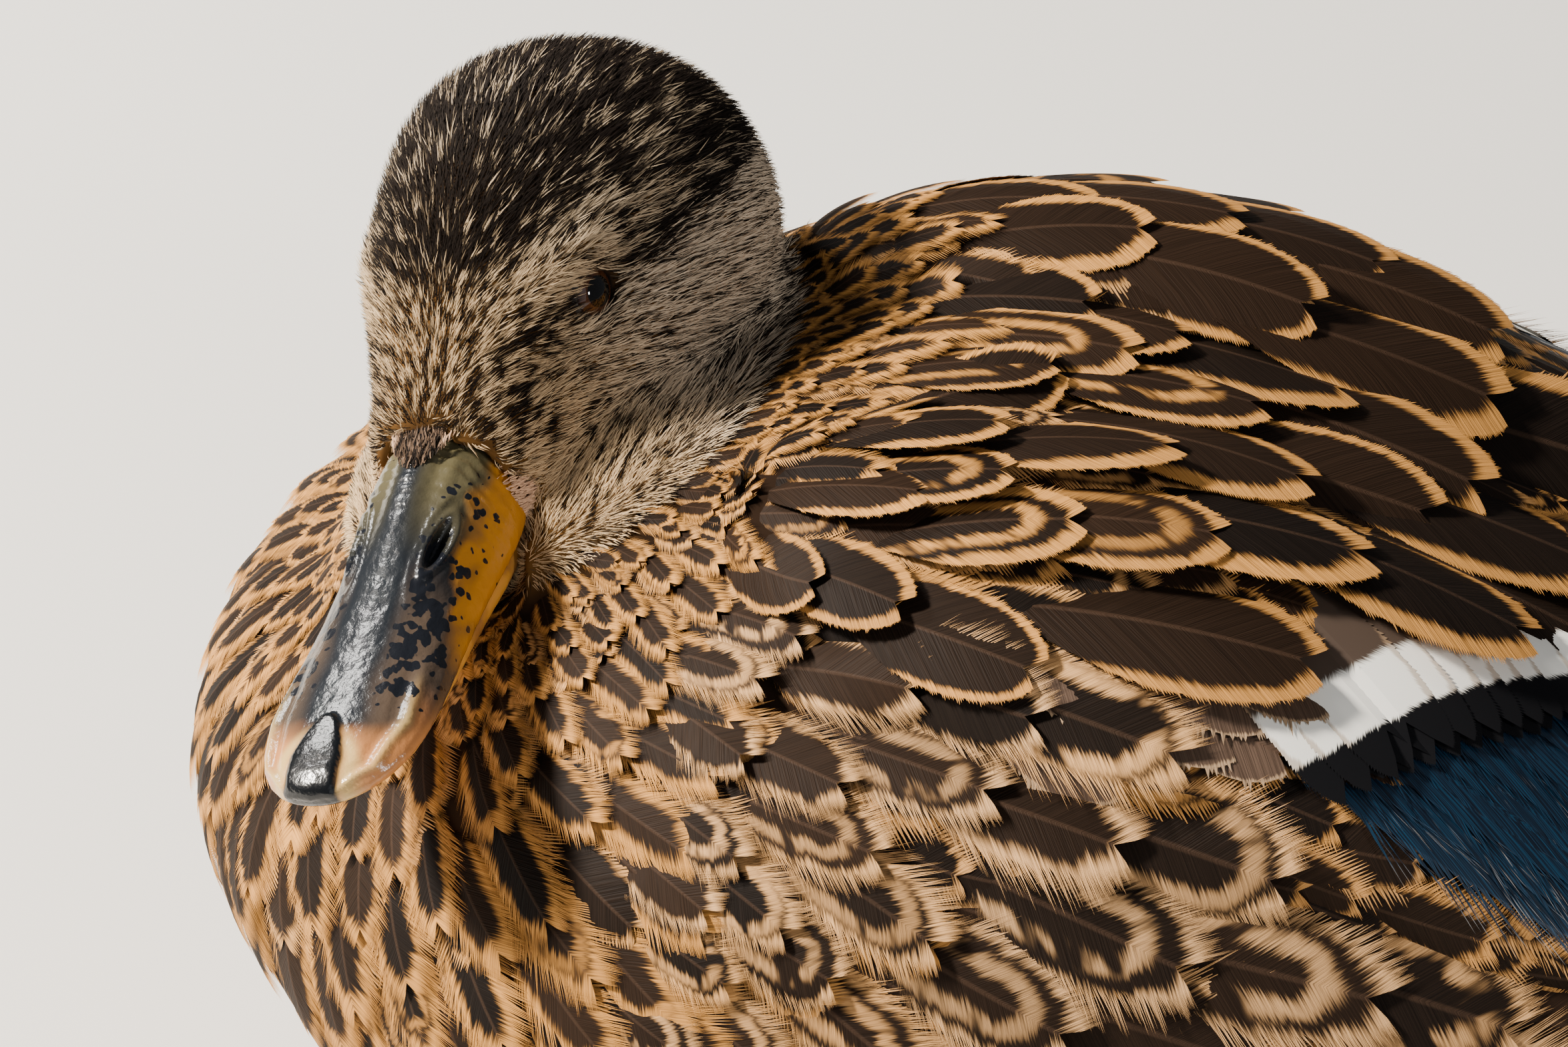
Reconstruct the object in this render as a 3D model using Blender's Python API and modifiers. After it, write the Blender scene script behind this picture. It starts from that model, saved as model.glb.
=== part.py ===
"""A hen mallard at rest, life size, with the plumage's outer surface as solid pieces.

The bird lies on its belly, faces -Y and has +Z up, so its left side is +X. Its head is drawn down between
the shoulders and turned to its left, with the bill held low above the left shoulder.
Lengths are given in millimetres and turned to metres where they are used.
"""

import math

import bmesh
import bpy
from mathutils import Matrix, Vector

MM = 0.001

# ---- driving dimensions, mm and degrees ----
CLEARANCE = 0.4  # air left between neighbouring pieces

HEAD_AT = (8.0, -106.0, 138.0)  # the point midway between the eyes
HEAD_YAW = 78.5  # turned to the bird's left
HEAD_PITCH = 12.8  # bill below the level
HEAD_ROLL = 22.3  # left eye raised
NECK_AT = (2.0, -84.0, 74.0)
NECK_LEAN = 8.0  # forward of upright

EYE_RADIUS = 5.6
EYE_OUT = 13.6  # centre of an eyeball from the middle of the head
FOOT_AT = (44.0, 26.0)  # heel of the left foot, out and back
FOOT_LENGTH = 60.0
FOOT_SPREAD = 26.0  # outer toes to either side of the middle one
FOOT_TURN = 14.0  # toes outwards
WEB_THICKNESS = 2.6

WING_FRONT = -78.0
WING_BACK = 112.0
WING_ANGLE = (71.0, 47.0)  # middle of the wing up the side, at its front and at its back
WING_SPREAD = 23.0  # half the angle that the wing covers
WING_RIM = 1.2  # the wing's edge above the trunk
WING_RISE = 5.5
WING_SUNK = 3.0

# A ring is (place along the piece, half width, height of the widest point, top, bottom, sideways shift).
TRUNK_NOSE = (-141.5, 68.0)
TRUNK_RINGS = (
    (-138.0, 26.0, 68.0, 80.0, 56.0, 0.0),
    (-129.5, 44.0, 67.0, 92.0, 45.0, 0.0),
    (-115.5, 61.0, 66.0, 106.0, 31.0, 0.0),
    (-95.0, 77.0, 65.0, 120.0, 14.0, 0.0),
    (-66.0, 88.0, 64.0, 136.0, -1.0, 0.0),
    (-28.0, 92.0, 64.0, 140.0, -5.0, 0.0),
    (12.0, 90.0, 64.0, 132.0, -5.0, 0.0),
    (50.0, 83.0, 65.0, 117.0, -2.0, 0.0),
    (86.0, 72.0, 66.0, 106.0, 4.0, 0.0),
    (118.0, 57.0, 67.0, 98.0, 15.0, 0.0),
    (148.0, 40.0, 70.0, 91.5, 34.0, 0.0),
    (172.0, 27.0, 74.0, 88.0, 54.0, 0.0),
    (190.0, 16.0, 77.0, 86.0, 68.0, 0.0),
)
TRUNK_END = (196.0, 78.0)
HEAD_NOSE = (-29.0, -11.0)
HEAD_RINGS = (
    (-26.0, 9.5, -11.0, -3.0, -20.0, 0.0),
    (-19.0, 12.3, -11.0, 4.5, -23.0, 0.0),
    (-10.0, 15.0, -10.0, 13.0, -25.0, 0.4),
    (0.0, 17.8, -9.0, 19.5, -27.0, 1.0),
    (11.0, 22.0, -9.0, 23.0, -29.0, 2.4),
    (23.0, 25.0, -10.0, 22.5, -31.0, 3.8),
    (35.0, 23.5, -11.0, 15.5, -30.0, 4.8),
    (44.5, 15.0, -11.0, 5.0, -26.0, 5.4),
)
HEAD_END = (49.0, -11.0)
NECK_TIP = (-58.0, 0.0)
NECK_RINGS = (
    (-55.0, 17.0, 0.0, 18.0, -16.0, 4.0),
    (-46.0, 30.0, 0.0, 31.0, -28.0, 6.0),
    (-30.0, 40.0, 0.0, 40.0, -37.0, 10.0),
    (-6.0, 48.0, 0.0, 46.0, -46.0, 12.0),
)
NECK_BASE = (6.0, 0.0)
BILL_TIP = (-79.0, -16.6)
BILL_RINGS = (
    (-77.8, 5.1, -17.0, -14.6, -18.6, 0.0),
    (-73.5, 9.6, -17.2, -13.0, -19.2, 0.0),
    (-66.0, 12.0, -17.5, -12.2, -19.4, 0.0),
    (-55.0, 11.2, -17.8, -10.2, -19.4, 0.0),
    (-44.0, 10.0, -17.9, -7.4, -19.4, 0.0),
    (-33.0, 10.0, -18.0, -3.8, -19.6, 0.0),
    (-25.0, 10.4, -17.5, -1.8, -19.7, 0.0),
    (-18.0, 8.2, -15.0, -5.0, -18.5, 0.0),
)
BILL_BACK = (-16.0, -12.0)
JAW_TIP = (-76.2, -19.4)
JAW_RINGS = (
    (-74.0, 5.4, -19.2, -18.0, -20.8, 0.0),
    (-66.0, 9.7, -19.5, -18.0, -22.6, 0.0),
    (-52.0, 8.9, -19.8, -18.0, -23.2, 0.0),
    (-38.0, 8.3, -20.0, -18.0, -24.2, 0.0),
    (-26.0, 8.6, -20.4, -18.0, -25.6, 0.0),
    (-18.0, 6.4, -20.6, -18.2, -24.4, 0.0),
)
JAW_BACK = (-16.0, -21.0)
TAIL_ROOT = (138.0, 78.0)
TAIL_RINGS = (
    (144.0, 17.0, 78.0, 83.0, 73.0, 0.0),
    (170.0, 28.5, 80.5, 86.5, 75.5, 0.0),
    (204.0, 39.0, 83.6, 87.2, 80.0, 0.0),
    (226.0, 35.0, 86.0, 88.4, 83.6, 0.0),
    (237.0, 21.0, 87.3, 88.9, 85.7, 0.0),
)
TAIL_END = (241.0, 88.0)
BLADE_ROOT = (46.0, 106.0)
BLADE_RINGS = (
    (54.0, 12.0, 107.0, 112.5, 101.0, 46.0),
    (84.0, 20.0, 104.0, 110.5, 97.0, 40.5),
    (120.0, 19.0, 99.5, 105.0, 93.0, 31.0),
    (158.0, 13.5, 95.0, 99.0, 91.0, 20.0),
    (190.0, 6.6, 92.5, 95.0, 90.0, 10.5),
)
BLADE_TIP = (202.0, 91.6)


def smooth_rings(rings, along):
    """The ring values at one place, on a smooth curve through the given rings."""
    if along <= rings[0][0]:
        return rings[0]
    for i in range(len(rings) - 1):
        start, end = rings[i], rings[i + 1]
        if along <= end[0]:
            before, after = rings[max(i - 1, 0)], rings[min(i + 2, len(rings) - 1)]
            t = (along - start[0]) / (end[0] - start[0])
            return tuple(
                0.5
                * (
                    2 * b
                    + (c - a) * t
                    + (2 * a - 5 * b + 4 * c - d) * t * t
                    + (3 * b - a - 3 * c + d) * t**3
                )
                for a, b, c, d in zip(before, start, end, after)
            )
    return rings[-1]


def ring_point(ring, turn, fullness, swell=1.0):
    """A point of a ring's outline. turn is 0 at the left and a quarter turn at the top."""
    along, half, widest, top, bottom, shift = ring
    across, up = math.cos(turn), math.sin(turn)
    power = 2 / fullness
    reach = (top - widest) if up > 0 else (widest - bottom)
    x = shift + swell * half * math.copysign(abs(across) ** power, across)
    z = widest + swell * reach * math.copysign(abs(up) ** power, up)
    return Vector((x, along, z))


def keep(name, mesh_object, material, parent=None):
    """Names a finished object, gives it its material and puts it in the bird's collection."""
    mesh_object.name = name
    mesh_object.data.name = name
    mesh_object.data.materials.clear()
    mesh_object.data.materials.append(material)
    mesh_object.data.shade_smooth()
    for holder in list(mesh_object.users_collection):
        holder.objects.unlink(mesh_object)
    BIRD.objects.link(mesh_object)
    mesh_object.parent = parent
    return mesh_object


def outward(mesh):
    """Turns every face of a closed mesh outwards."""
    work = bmesh.new()
    work.from_mesh(mesh)
    bmesh.ops.recalc_face_normals(work, faces=work.faces)
    work.to_mesh(mesh)
    work.free()


def round_off(piece, levels):
    """Smooths a coarse cage."""
    smooth = piece.modifiers.new("smooth", "SUBSURF")
    smooth.levels = levels
    smooth.render_levels = levels
    return piece


def ring_solid(name, rings, nose, end, material, sides=16, fullness=2.2, levels=1, parent=None, side=1):
    """A soft closed form: a ball whose rings of points are laid on the given rings, front to back."""
    count = len(rings)
    swell = 3 / (2 + math.cos(math.tau / sides))  # smoothing draws a ring of few points inwards by this much
    bpy.ops.mesh.primitive_uv_sphere_add(segments=sides, ring_count=count + 1)
    ball = bpy.context.object
    for vertex in ball.data.vertices:
        step = math.acos(max(-1.0, min(1.0, -vertex.co.z))) / math.pi * (count + 1)
        index = round(step) - 1
        turn = math.atan2(vertex.co.y, vertex.co.x)
        if index < 0:
            place = Vector((rings[0][5], nose[0], nose[1]))
        elif index >= count:
            place = Vector((rings[-1][5], end[0], end[1]))
        else:
            place = ring_point(rings[index], turn, fullness, swell)
        vertex.co = Vector((side * place.x, place.y, place.z)) * MM
    outward(ball.data)
    return round_off(keep(name, ball, material, parent), levels)


def bent_plate(name, side, material, sides=12, rows=8):
    """A folded wing: a pebble laid on the side of the trunk, a little sunk into it."""
    bpy.ops.mesh.primitive_uv_sphere_add(segments=sides, ring_count=rows)
    pebble = bpy.context.object
    for vertex in pebble.data.vertices:
        share = (1 - vertex.co.x) / 2
        y = WING_FRONT + share * (WING_BACK - WING_FRONT)
        middle_angle = WING_ANGLE[0] + share * (WING_ANGLE[1] - WING_ANGLE[0])
        angle = math.radians(middle_angle + vertex.co.y * WING_SPREAD)
        ring = smooth_rings(TRUNK_RINGS, y)
        place = ring_point(ring, angle, 2.2)
        middle = Vector((0.0, y, ring[2]))
        out = (place - middle).normalized()
        lift = WING_RIM + vertex.co.z * (WING_RISE if vertex.co.z > 0 else WING_RIM + WING_SUNK)
        place += out * lift
        vertex.co = Vector((side * place.x, place.y, place.z)) * MM
    outward(pebble.data)
    return round_off(keep(name, pebble, material), 1)


def grown_copy(piece, growth=CLEARANCE):
    """A hidden cutter: the piece's own uncut form, standing a little outside it."""
    cutter = piece.copy()
    cutter.name = "cutter_" + piece.name
    CUTTERS.objects.link(cutter)
    for modifier in list(cutter.modifiers):
        if modifier.type == "BOOLEAN":
            cutter.modifiers.remove(modifier)
    swell = cutter.modifiers.new("swell", "DISPLACE")
    swell.strength = growth * MM
    swell.mid_level = 0.0
    cutter.hide_render = True
    cutter.display_type = "WIRE"
    return cutter


def cut(piece, cutter):
    """Takes the cutter's form out of the piece."""
    modifier = piece.modifiers.new("clear_of_" + cutter.name, "BOOLEAN")
    modifier.operation = "DIFFERENCE"
    modifier.object = cutter
    modifier.solver = "MANIFOLD"


def finish(name, colour, roughness, metallic=0.0):
    """A plain material of one colour."""
    material = bpy.data.materials.new(name)
    material.use_nodes = True
    shader = material.node_tree.nodes["Principled BSDF"]
    shader.inputs["Base Color"].default_value = (*colour, 1.0)
    shader.inputs["Roughness"].default_value = roughness
    shader.inputs["Metallic"].default_value = metallic
    return material


def head_frame():
    """An empty at the middle of the eyes that carries the head, the bill and the eyes."""
    frame = bpy.data.objects.new("head_pose", None)
    BIRD.objects.link(frame)
    turn = Matrix.Rotation(math.radians(HEAD_YAW), 4, "Z")
    dip = Matrix.Rotation(math.radians(HEAD_PITCH), 4, "X")
    lean = Matrix.Rotation(math.radians(-HEAD_ROLL), 4, "Y")
    frame.matrix_world = Matrix.Translation(Vector(HEAD_AT) * MM) @ turn @ dip @ lean
    return frame


def neck_frame():
    """An empty at the root of the neck. Its own -Y runs up the neck and its own +Z looks to the tail."""
    frame = bpy.data.objects.new("neck_pose", None)
    BIRD.objects.link(frame)
    rise = Matrix.Rotation(math.radians(NECK_LEAN - 90.0), 4, "X")
    frame.matrix_world = Matrix.Translation(Vector(NECK_AT) * MM) @ rise
    return frame


def eyeball(name, side, material, parent):
    """One eye, set in the side of the head."""
    bpy.ops.mesh.primitive_uv_sphere_add(segments=12, ring_count=8, radius=EYE_RADIUS * MM)
    ball = bpy.context.object
    ball.data.transform(Matrix.Translation((side * EYE_OUT * MM, 0, 0)))
    return keep(name, ball, material, parent)


def web_radius(share):
    """How far the web reaches at one place across the foot, 0 to 1: three toes with hollows between them."""
    hollow = abs(math.sin(2 * math.pi * share))
    middle = 1 - abs(2 * share - 1)
    return FOOT_LENGTH * (0.88 + 0.12 * middle - 0.13 * hollow)


def web(name, side, material):
    """A webbed foot lying flat on the floor."""
    work = bmesh.new()
    steps = 24
    outline = [Vector((0, 4.0, 0))]
    outline.append(Vector((-5.0, 0.0, 0)))
    for i in range(steps + 1):
        share = i / steps
        angle = math.radians((2 * share - 1) * FOOT_SPREAD)
        reach = web_radius(share)
        outline.append(Vector((reach * math.sin(angle), -reach * math.cos(angle), 0)))
    outline.append(Vector((5.0, 0.0, 0)))
    turn = Matrix.Rotation(math.radians(FOOT_TURN), 4, "Z")
    corners = []
    for point in outline:
        placed = turn @ point + Vector((FOOT_AT[0], FOOT_AT[1], 0))
        corners.append(work.verts.new(Vector((side * placed.x, placed.y, 0)) * MM))
    sole = work.faces.new(corners)
    raised = bmesh.ops.extrude_face_region(work, geom=[sole])
    lifted = [item for item in raised["geom"] if isinstance(item, bmesh.types.BMVert)]
    bmesh.ops.translate(work, verts=lifted, vec=Vector((0, 0, WEB_THICKNESS * MM)))
    mesh = bpy.data.meshes.new(name)
    work.to_mesh(mesh)
    work.free()
    outward(mesh)
    foot = bpy.data.objects.new(name, mesh)
    bpy.context.scene.collection.objects.link(foot)
    keep(name, foot, material)
    foot.data.shade_flat()
    return foot


def block(name, low, high):
    """A plain hidden cutter between two corners in mm."""
    middle = (Vector(low) + Vector(high)) / 2 * MM
    bpy.ops.mesh.primitive_cube_add(size=1, location=middle)
    cutter = bpy.context.object
    cutter.scale = (Vector(high) - Vector(low)) * MM
    cutter.name = "cutter_" + name
    for holder in list(cutter.users_collection):
        holder.objects.unlink(cutter)
    CUTTERS.objects.link(cutter)
    cutter.hide_render = True
    cutter.display_type = "WIRE"
    return cutter


def centre_on_floor(pieces):
    """Shifts the whole bird so that the middle of its box stands over the origin."""
    bpy.context.view_layer.update()
    depsgraph = bpy.context.evaluated_depsgraph_get()
    corners = []
    for piece in pieces:
        shown = piece.evaluated_get(depsgraph)
        corners += [shown.matrix_world @ vertex.co for vertex in shown.data.vertices]
    shift = Vector((0, 0, 0))
    for axis in (0, 1):
        values = [corner[axis] for corner in corners]
        shift[axis] = -(min(values) + max(values)) / 2
    for item in list(BIRD.objects) + list(CUTTERS.objects):
        if item.parent is None:
            item.matrix_world = Matrix.Translation(shift) @ item.matrix_world


for item in list(bpy.data.objects):
    bpy.data.objects.remove(item)

BIRD = bpy.data.collections.new("resting_mallard_hen")
CUTTERS = bpy.data.collections.new("cutters")
bpy.context.scene.collection.children.link(BIRD)
bpy.context.scene.collection.children.link(CUTTERS)

breast_buff = finish("breast_buff", (0.30, 0.17, 0.075), 0.8)
neck_brown = finish("neck_brown", (0.22, 0.15, 0.09), 0.8)
head_brown = finish("head_brown", (0.17, 0.125, 0.085), 0.8)
bill_upper_horn = finish("bill_upper_horn", (0.06, 0.05, 0.035), 0.25)
bill_lower_horn = finish("bill_lower_horn", (0.45, 0.17, 0.02), 0.35)
wing_brown_left = finish("wing_brown_left", (0.075, 0.045, 0.028), 0.7)
wing_brown_right = finish("wing_brown_right", (0.075, 0.045, 0.028), 0.7)
tip_brown_left = finish("tip_brown_left", (0.06, 0.042, 0.03), 0.65)
tip_brown_right = finish("tip_brown_right", (0.06, 0.042, 0.03), 0.65)
tail_buff = finish("tail_buff", (0.26, 0.19, 0.12), 0.75)
eye_dark_left = finish("eye_dark_left", (0.02, 0.010, 0.006), 0.08)
eye_dark_right = finish("eye_dark_right", (0.02, 0.010, 0.006), 0.08)
foot_orange_left = finish("foot_orange_left", (0.62, 0.20, 0.03), 0.5)
foot_orange_right = finish("foot_orange_right", (0.62, 0.20, 0.03), 0.5)

# ---- head, with its eyes and bill ----
head_pose = head_frame()
eye_left = eyeball("eye_left", 1, eye_dark_left, head_pose)
eye_right = eyeball("eye_right", -1, eye_dark_right, head_pose)
bill_upper = ring_solid("bill_upper", BILL_RINGS, BILL_TIP, BILL_BACK, bill_upper_horn, 12, 2.0, 1, head_pose)
bill_lower = ring_solid("bill_lower", JAW_RINGS, JAW_TIP, JAW_BACK, bill_lower_horn, 10, 2.2, 1, head_pose)
cut(bill_lower, grown_copy(bill_upper))
head = ring_solid("head", HEAD_RINGS, HEAD_NOSE, HEAD_END, head_brown, 14, 2.1, 1, head_pose)
for part in (eye_left, eye_right, bill_upper, bill_lower):
    cut(head, grown_copy(part))

# ---- neck ----
neck_pose = neck_frame()
neck = ring_solid("neck", NECK_RINGS, NECK_TIP, NECK_BASE, neck_brown, 12, 2.1, 1, neck_pose)
for part in (head, bill_upper, bill_lower):
    cut(neck, grown_copy(part))

# ---- folded wings, their long feathers, and the tail ----
blade_left = ring_solid(
    "primaries_left", BLADE_RINGS, BLADE_ROOT, BLADE_TIP, tip_brown_left, 8, 2.2, 1
)
blade_right = ring_solid(
    "primaries_right", BLADE_RINGS, BLADE_ROOT, BLADE_TIP, tip_brown_right, 8, 2.2, 1, None, -1
)
wing_left = bent_plate("wing_left", 1, wing_brown_left)
wing_right = bent_plate("wing_right", -1, wing_brown_right)
for wing in (wing_left, wing_right):
    cut(wing, grown_copy(head))
    cut(wing, grown_copy(neck))
cut(blade_left, grown_copy(wing_left))
cut(blade_right, grown_copy(wing_right))
tail = ring_solid("tail", TAIL_RINGS, TAIL_ROOT, TAIL_END, tail_buff, 10, 2.2, 1)
for part in (blade_left, blade_right):
    cut(tail, grown_copy(part))

# ---- feet and trunk ----
foot_left = web("foot_left", 1, foot_orange_left)
foot_right = web("foot_right", -1, foot_orange_right)
trunk = ring_solid("trunk", TRUNK_RINGS, TRUNK_NOSE, TRUNK_END, breast_buff, 14, 2.2, 1)
others = (head, bill_upper, bill_lower, neck, wing_left, wing_right, blade_left, blade_right, tail)
for part in others:
    cut(trunk, grown_copy(part))
cut(trunk, block("floor", (-200.0, -300.0, -60.0), (200.0, 300.0, 0.0)))
cut(trunk, grown_copy(foot_left))
cut(trunk, grown_copy(foot_right))

pieces = (trunk, neck, head, bill_upper, bill_lower, eye_left, eye_right, wing_left, wing_right)
pieces += (blade_left, blade_right, tail, foot_left, foot_right)
centre_on_floor(pieces)
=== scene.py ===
# %% [markdown]
# # A hen mallard at rest
#
# A museum's model of a duck keeps one pose, and nearly all that one sees of it is feathers. The packed
# model gives the outer surface of the plumage as solids. This lesson loads it as a fixed frame, lays one
# skin a little inside it, and then clothes the skin in feathers from the bill to the tail.

import math
from collections import namedtuple

import bmesh
import bpy
import numpy as np
from mathutils import Matrix, Vector
from mathutils.bvhtree import BVHTree


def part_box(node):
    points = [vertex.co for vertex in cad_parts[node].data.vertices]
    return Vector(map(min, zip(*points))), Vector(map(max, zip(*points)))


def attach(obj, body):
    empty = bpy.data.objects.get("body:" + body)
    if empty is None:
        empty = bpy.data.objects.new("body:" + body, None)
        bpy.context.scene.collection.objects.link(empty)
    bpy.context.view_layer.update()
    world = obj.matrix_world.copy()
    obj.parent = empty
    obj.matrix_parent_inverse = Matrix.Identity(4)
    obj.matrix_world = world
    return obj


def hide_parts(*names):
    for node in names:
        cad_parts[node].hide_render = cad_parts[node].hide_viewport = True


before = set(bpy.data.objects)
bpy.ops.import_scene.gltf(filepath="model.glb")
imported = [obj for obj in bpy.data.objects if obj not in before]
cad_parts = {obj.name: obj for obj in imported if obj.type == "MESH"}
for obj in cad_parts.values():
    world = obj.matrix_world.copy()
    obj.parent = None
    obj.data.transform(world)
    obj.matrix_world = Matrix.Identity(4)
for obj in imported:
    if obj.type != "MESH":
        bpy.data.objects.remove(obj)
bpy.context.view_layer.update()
MM = 0.001
rng = np.random.default_rng(7)
print("solids:", sorted(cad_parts))

# %% [markdown]
# The head is turned to the bird's left, tipped down and leaned over. All that belongs to it is easier to
# place in its own frame: left, back and up from the point midway between the eyes, which is the middle of
# the two eyeballs.

# %% The head's own frame
eye_middles = [(Vector(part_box(n)[0]) + Vector(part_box(n)[1])) / 2 for n in ("eye_left", "eye_right")]
head_middle = (eye_middles[0] + eye_middles[1]) / 2
head_turn = (
    Matrix.Rotation(math.radians(78.5), 4, "Z")
    @ Matrix.Rotation(math.radians(12.8), 4, "X")
    @ Matrix.Rotation(math.radians(-22.3), 4, "Y")
)
head_pose = Matrix.Translation(head_middle) @ head_turn
head_axes = np.array(head_turn.to_3x3())


def in_head(points):
    """World places as left, back and up of the head's middle, in mm."""
    return (np.asarray(points) - np.array(head_middle)) @ head_axes / MM


def out_of_head(points):
    """The other way round: places in the head's own mm to the world."""
    return np.asarray(points) * MM @ head_axes.T + np.array(head_middle)


print("middle of the head", [round(v, 4) for v in head_middle])

# %% [markdown]
# The camera looks down on the bird's left side through a long lens from 1.2 m away. A pale floor, a weak
# sky and four square lamps are all the studio there is. The strongest lamp stands ahead of the bird, to the
# camera's left, so that each feather's edge throws a small shadow on the next one. A wide one fills in, a
# small one makes the glint in the eye, and one on the far side brightens the edge of the back.

# %% Camera
camera_data = bpy.data.cameras.new("camera")
camera = bpy.data.objects.new("camera", camera_data)
bpy.context.scene.collection.objects.link(camera)
camera.location = (1.02407, -0.05956, 0.77091)
camera.rotation_euler = [math.radians(a) for a in (56.804, -5.866, 96.826)]
camera_data.lens = 211.1
camera_data.clip_start = 0.01
bpy.context.scene.camera = camera

# %% Floor, lamps and sky
bpy.ops.object.select_all(action="DESELECT")
bpy.ops.mesh.primitive_plane_add(size=8, location=(0, 0, 0))
floor = bpy.context.object
floor.name = "studio_floor"
floor_finish = bpy.data.materials.new("studio_floor")
floor_finish.use_nodes = True
floor_shader = floor_finish.node_tree.nodes["Principled BSDF"]
floor_shader.inputs["Base Color"].default_value = (0.80, 0.78, 0.74, 1)
floor_shader.inputs["Roughness"].default_value = 0.8
floor.data.materials.append(floor_finish)


def lamp(name, place, power, size, colour):
    """A square lamp that faces the bird."""
    light = bpy.data.lights.new(name, "AREA")
    light.energy = power
    light.size = size
    light.color = colour
    holder = bpy.data.objects.new(name, light)
    bpy.context.scene.collection.objects.link(holder)
    holder.location = place
    holder.rotation_euler = (Vector((0, -0.08, 0.07)) - Vector(place)).to_track_quat("-Z", "Y").to_euler()
    return holder


lamp("key", (0.22, -1.30, 0.98), 88, 0.16, (1.0, 0.93, 0.83))
lamp("fill", (1.3, 0.4, 0.7), 3.4, 1.2, (0.92, 0.96, 1.0))
lamp("catch", (0.62, 0.85, 0.58), 5, 0.14, (1.0, 0.98, 0.95))
lamp("back", (-0.45, -0.95, 0.85), 9, 0.22, (1.0, 0.97, 0.92))
world = bpy.data.worlds.new("studio")
world.use_nodes = True
world.node_tree.nodes["Background"].inputs["Color"].default_value = (0.93, 0.95, 1.0, 1)
world.node_tree.nodes["Background"].inputs["Strength"].default_value = 0.14
bpy.context.scene.world = world

# %% [markdown]
# ## The skin
#
# Under the feathers one skin runs from the face to the rump with no seam. The flesh solids are copied,
# joined and remeshed into one closed surface, smoothed, and drawn in by the depth of the coat: less than a
# millimetre on the head, 2.6 mm on the body. The face gets its folds here too: a brow that shades the eye,
# a hollow in front of it, full cheeks.

# %% One surface from the flesh solids
FLESH = ("trunk", "neck", "head", "wing_left", "wing_right")


def joined_copy(name, nodes):
    """One new mesh from copies of CAD nodes."""
    work = bmesh.new()
    for node in nodes:
        work.from_mesh(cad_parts[node].data)
    bmesh.ops.remove_doubles(work, verts=work.verts, dist=1e-6)
    mesh = bpy.data.meshes.new(name)
    work.to_mesh(mesh)
    work.free()
    piece = bpy.data.objects.new(name, mesh)
    bpy.context.scene.collection.objects.link(piece)
    return piece


def apply_modifiers(piece):
    """Applies what is on a piece, as the arrow beside each modifier does."""
    bpy.ops.object.select_all(action="DESELECT")
    bpy.context.view_layer.objects.active = piece
    piece.select_set(True)
    for modifier in list(piece.modifiers):
        bpy.ops.object.modifier_apply(modifier=modifier.name)


def remade(piece, voxel, rounds):
    """Turns a piece into one closed surface with faces of about voxel mm, smoothed some rounds."""
    remesh = piece.modifiers.new("one surface", "REMESH")
    remesh.mode = "VOXEL"
    remesh.voxel_size = voxel * MM
    settle = piece.modifiers.new("settle", "SMOOTH")
    settle.factor = 0.5
    settle.iterations = rounds
    apply_modifiers(piece)


def points_of(piece):
    """A mesh's points as one array."""
    flat = np.empty(len(piece.data.vertices) * 3, np.float32)
    piece.data.vertices.foreach_get("co", flat)
    return flat.reshape(-1, 3).astype(float)


def normals_of(piece):
    """The smooth normal at each point of a mesh."""
    flat = np.empty(len(piece.data.vertices) * 3, np.float32)
    piece.data.vertices.foreach_get("normal", flat)
    return flat.reshape(-1, 3).astype(float)


def set_points(piece, points):
    """Moves all points of a mesh."""
    piece.data.vertices.foreach_set("co", points.astype(np.float32).ravel())
    piece.data.update()


def paint(mesh, name, colours):
    """Writes one colour for each point of a mesh."""
    rgba = np.concatenate([colours, np.ones((len(colours), 1))], axis=1)
    layer = mesh.attributes.new(name, "FLOAT_COLOR", "POINT")
    layer.data.foreach_set("color", rgba.astype(np.float32).ravel())


def dress(piece, finish):
    """Gives a piece one material and no other."""
    piece.data.materials.clear()
    piece.data.materials.append(finish)


skin = joined_copy("skin", FLESH)
work = bmesh.new()
work.from_mesh(skin.data)
for side in (1, -1):
    orbit = Matrix.Translation(Vector(out_of_head([(side * 9.4, 0, 0)])[0]))
    bmesh.ops.create_uvsphere(work, u_segments=32, v_segments=20, radius=7.4 * MM, matrix=orbit)
work.to_mesh(skin.data)
work.free()
remade(skin, voxel=1.7, rounds=6)
print("skin:", len(skin.data.polygons), "faces")


# %% Folds of the face and depth of the coat
def ramp(value, low, high):
    """A soft step from 0 at low to 1 at high."""
    t = np.clip((value - low) / (high - low), 0, 1)
    return t * t * (3 - 2 * t)


def bump_at(places, centre, widths):
    """A soft mound, 1 at its centre."""
    return np.exp(-(((places - np.array(centre)) / np.array(widths)) ** 2).sum(axis=1))


def egg_reach(places, centre, radii):
    """How far out from the middle of an egg shape, 1 on its surface."""
    return np.sqrt((((places - np.array(centre)) / np.array(radii)) ** 2).sum(axis=1))


def head_reach(points):
    """How far out from the head's middle, 1 at the edge of its own plumage."""
    return egg_reach(in_head(points), (0, 9, -7), (31, 45, 35))


def headness(points):
    """1 on the head, 0 on the body."""
    return 1 - ramp(head_reach(points), 0.92, 1.14)


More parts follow.
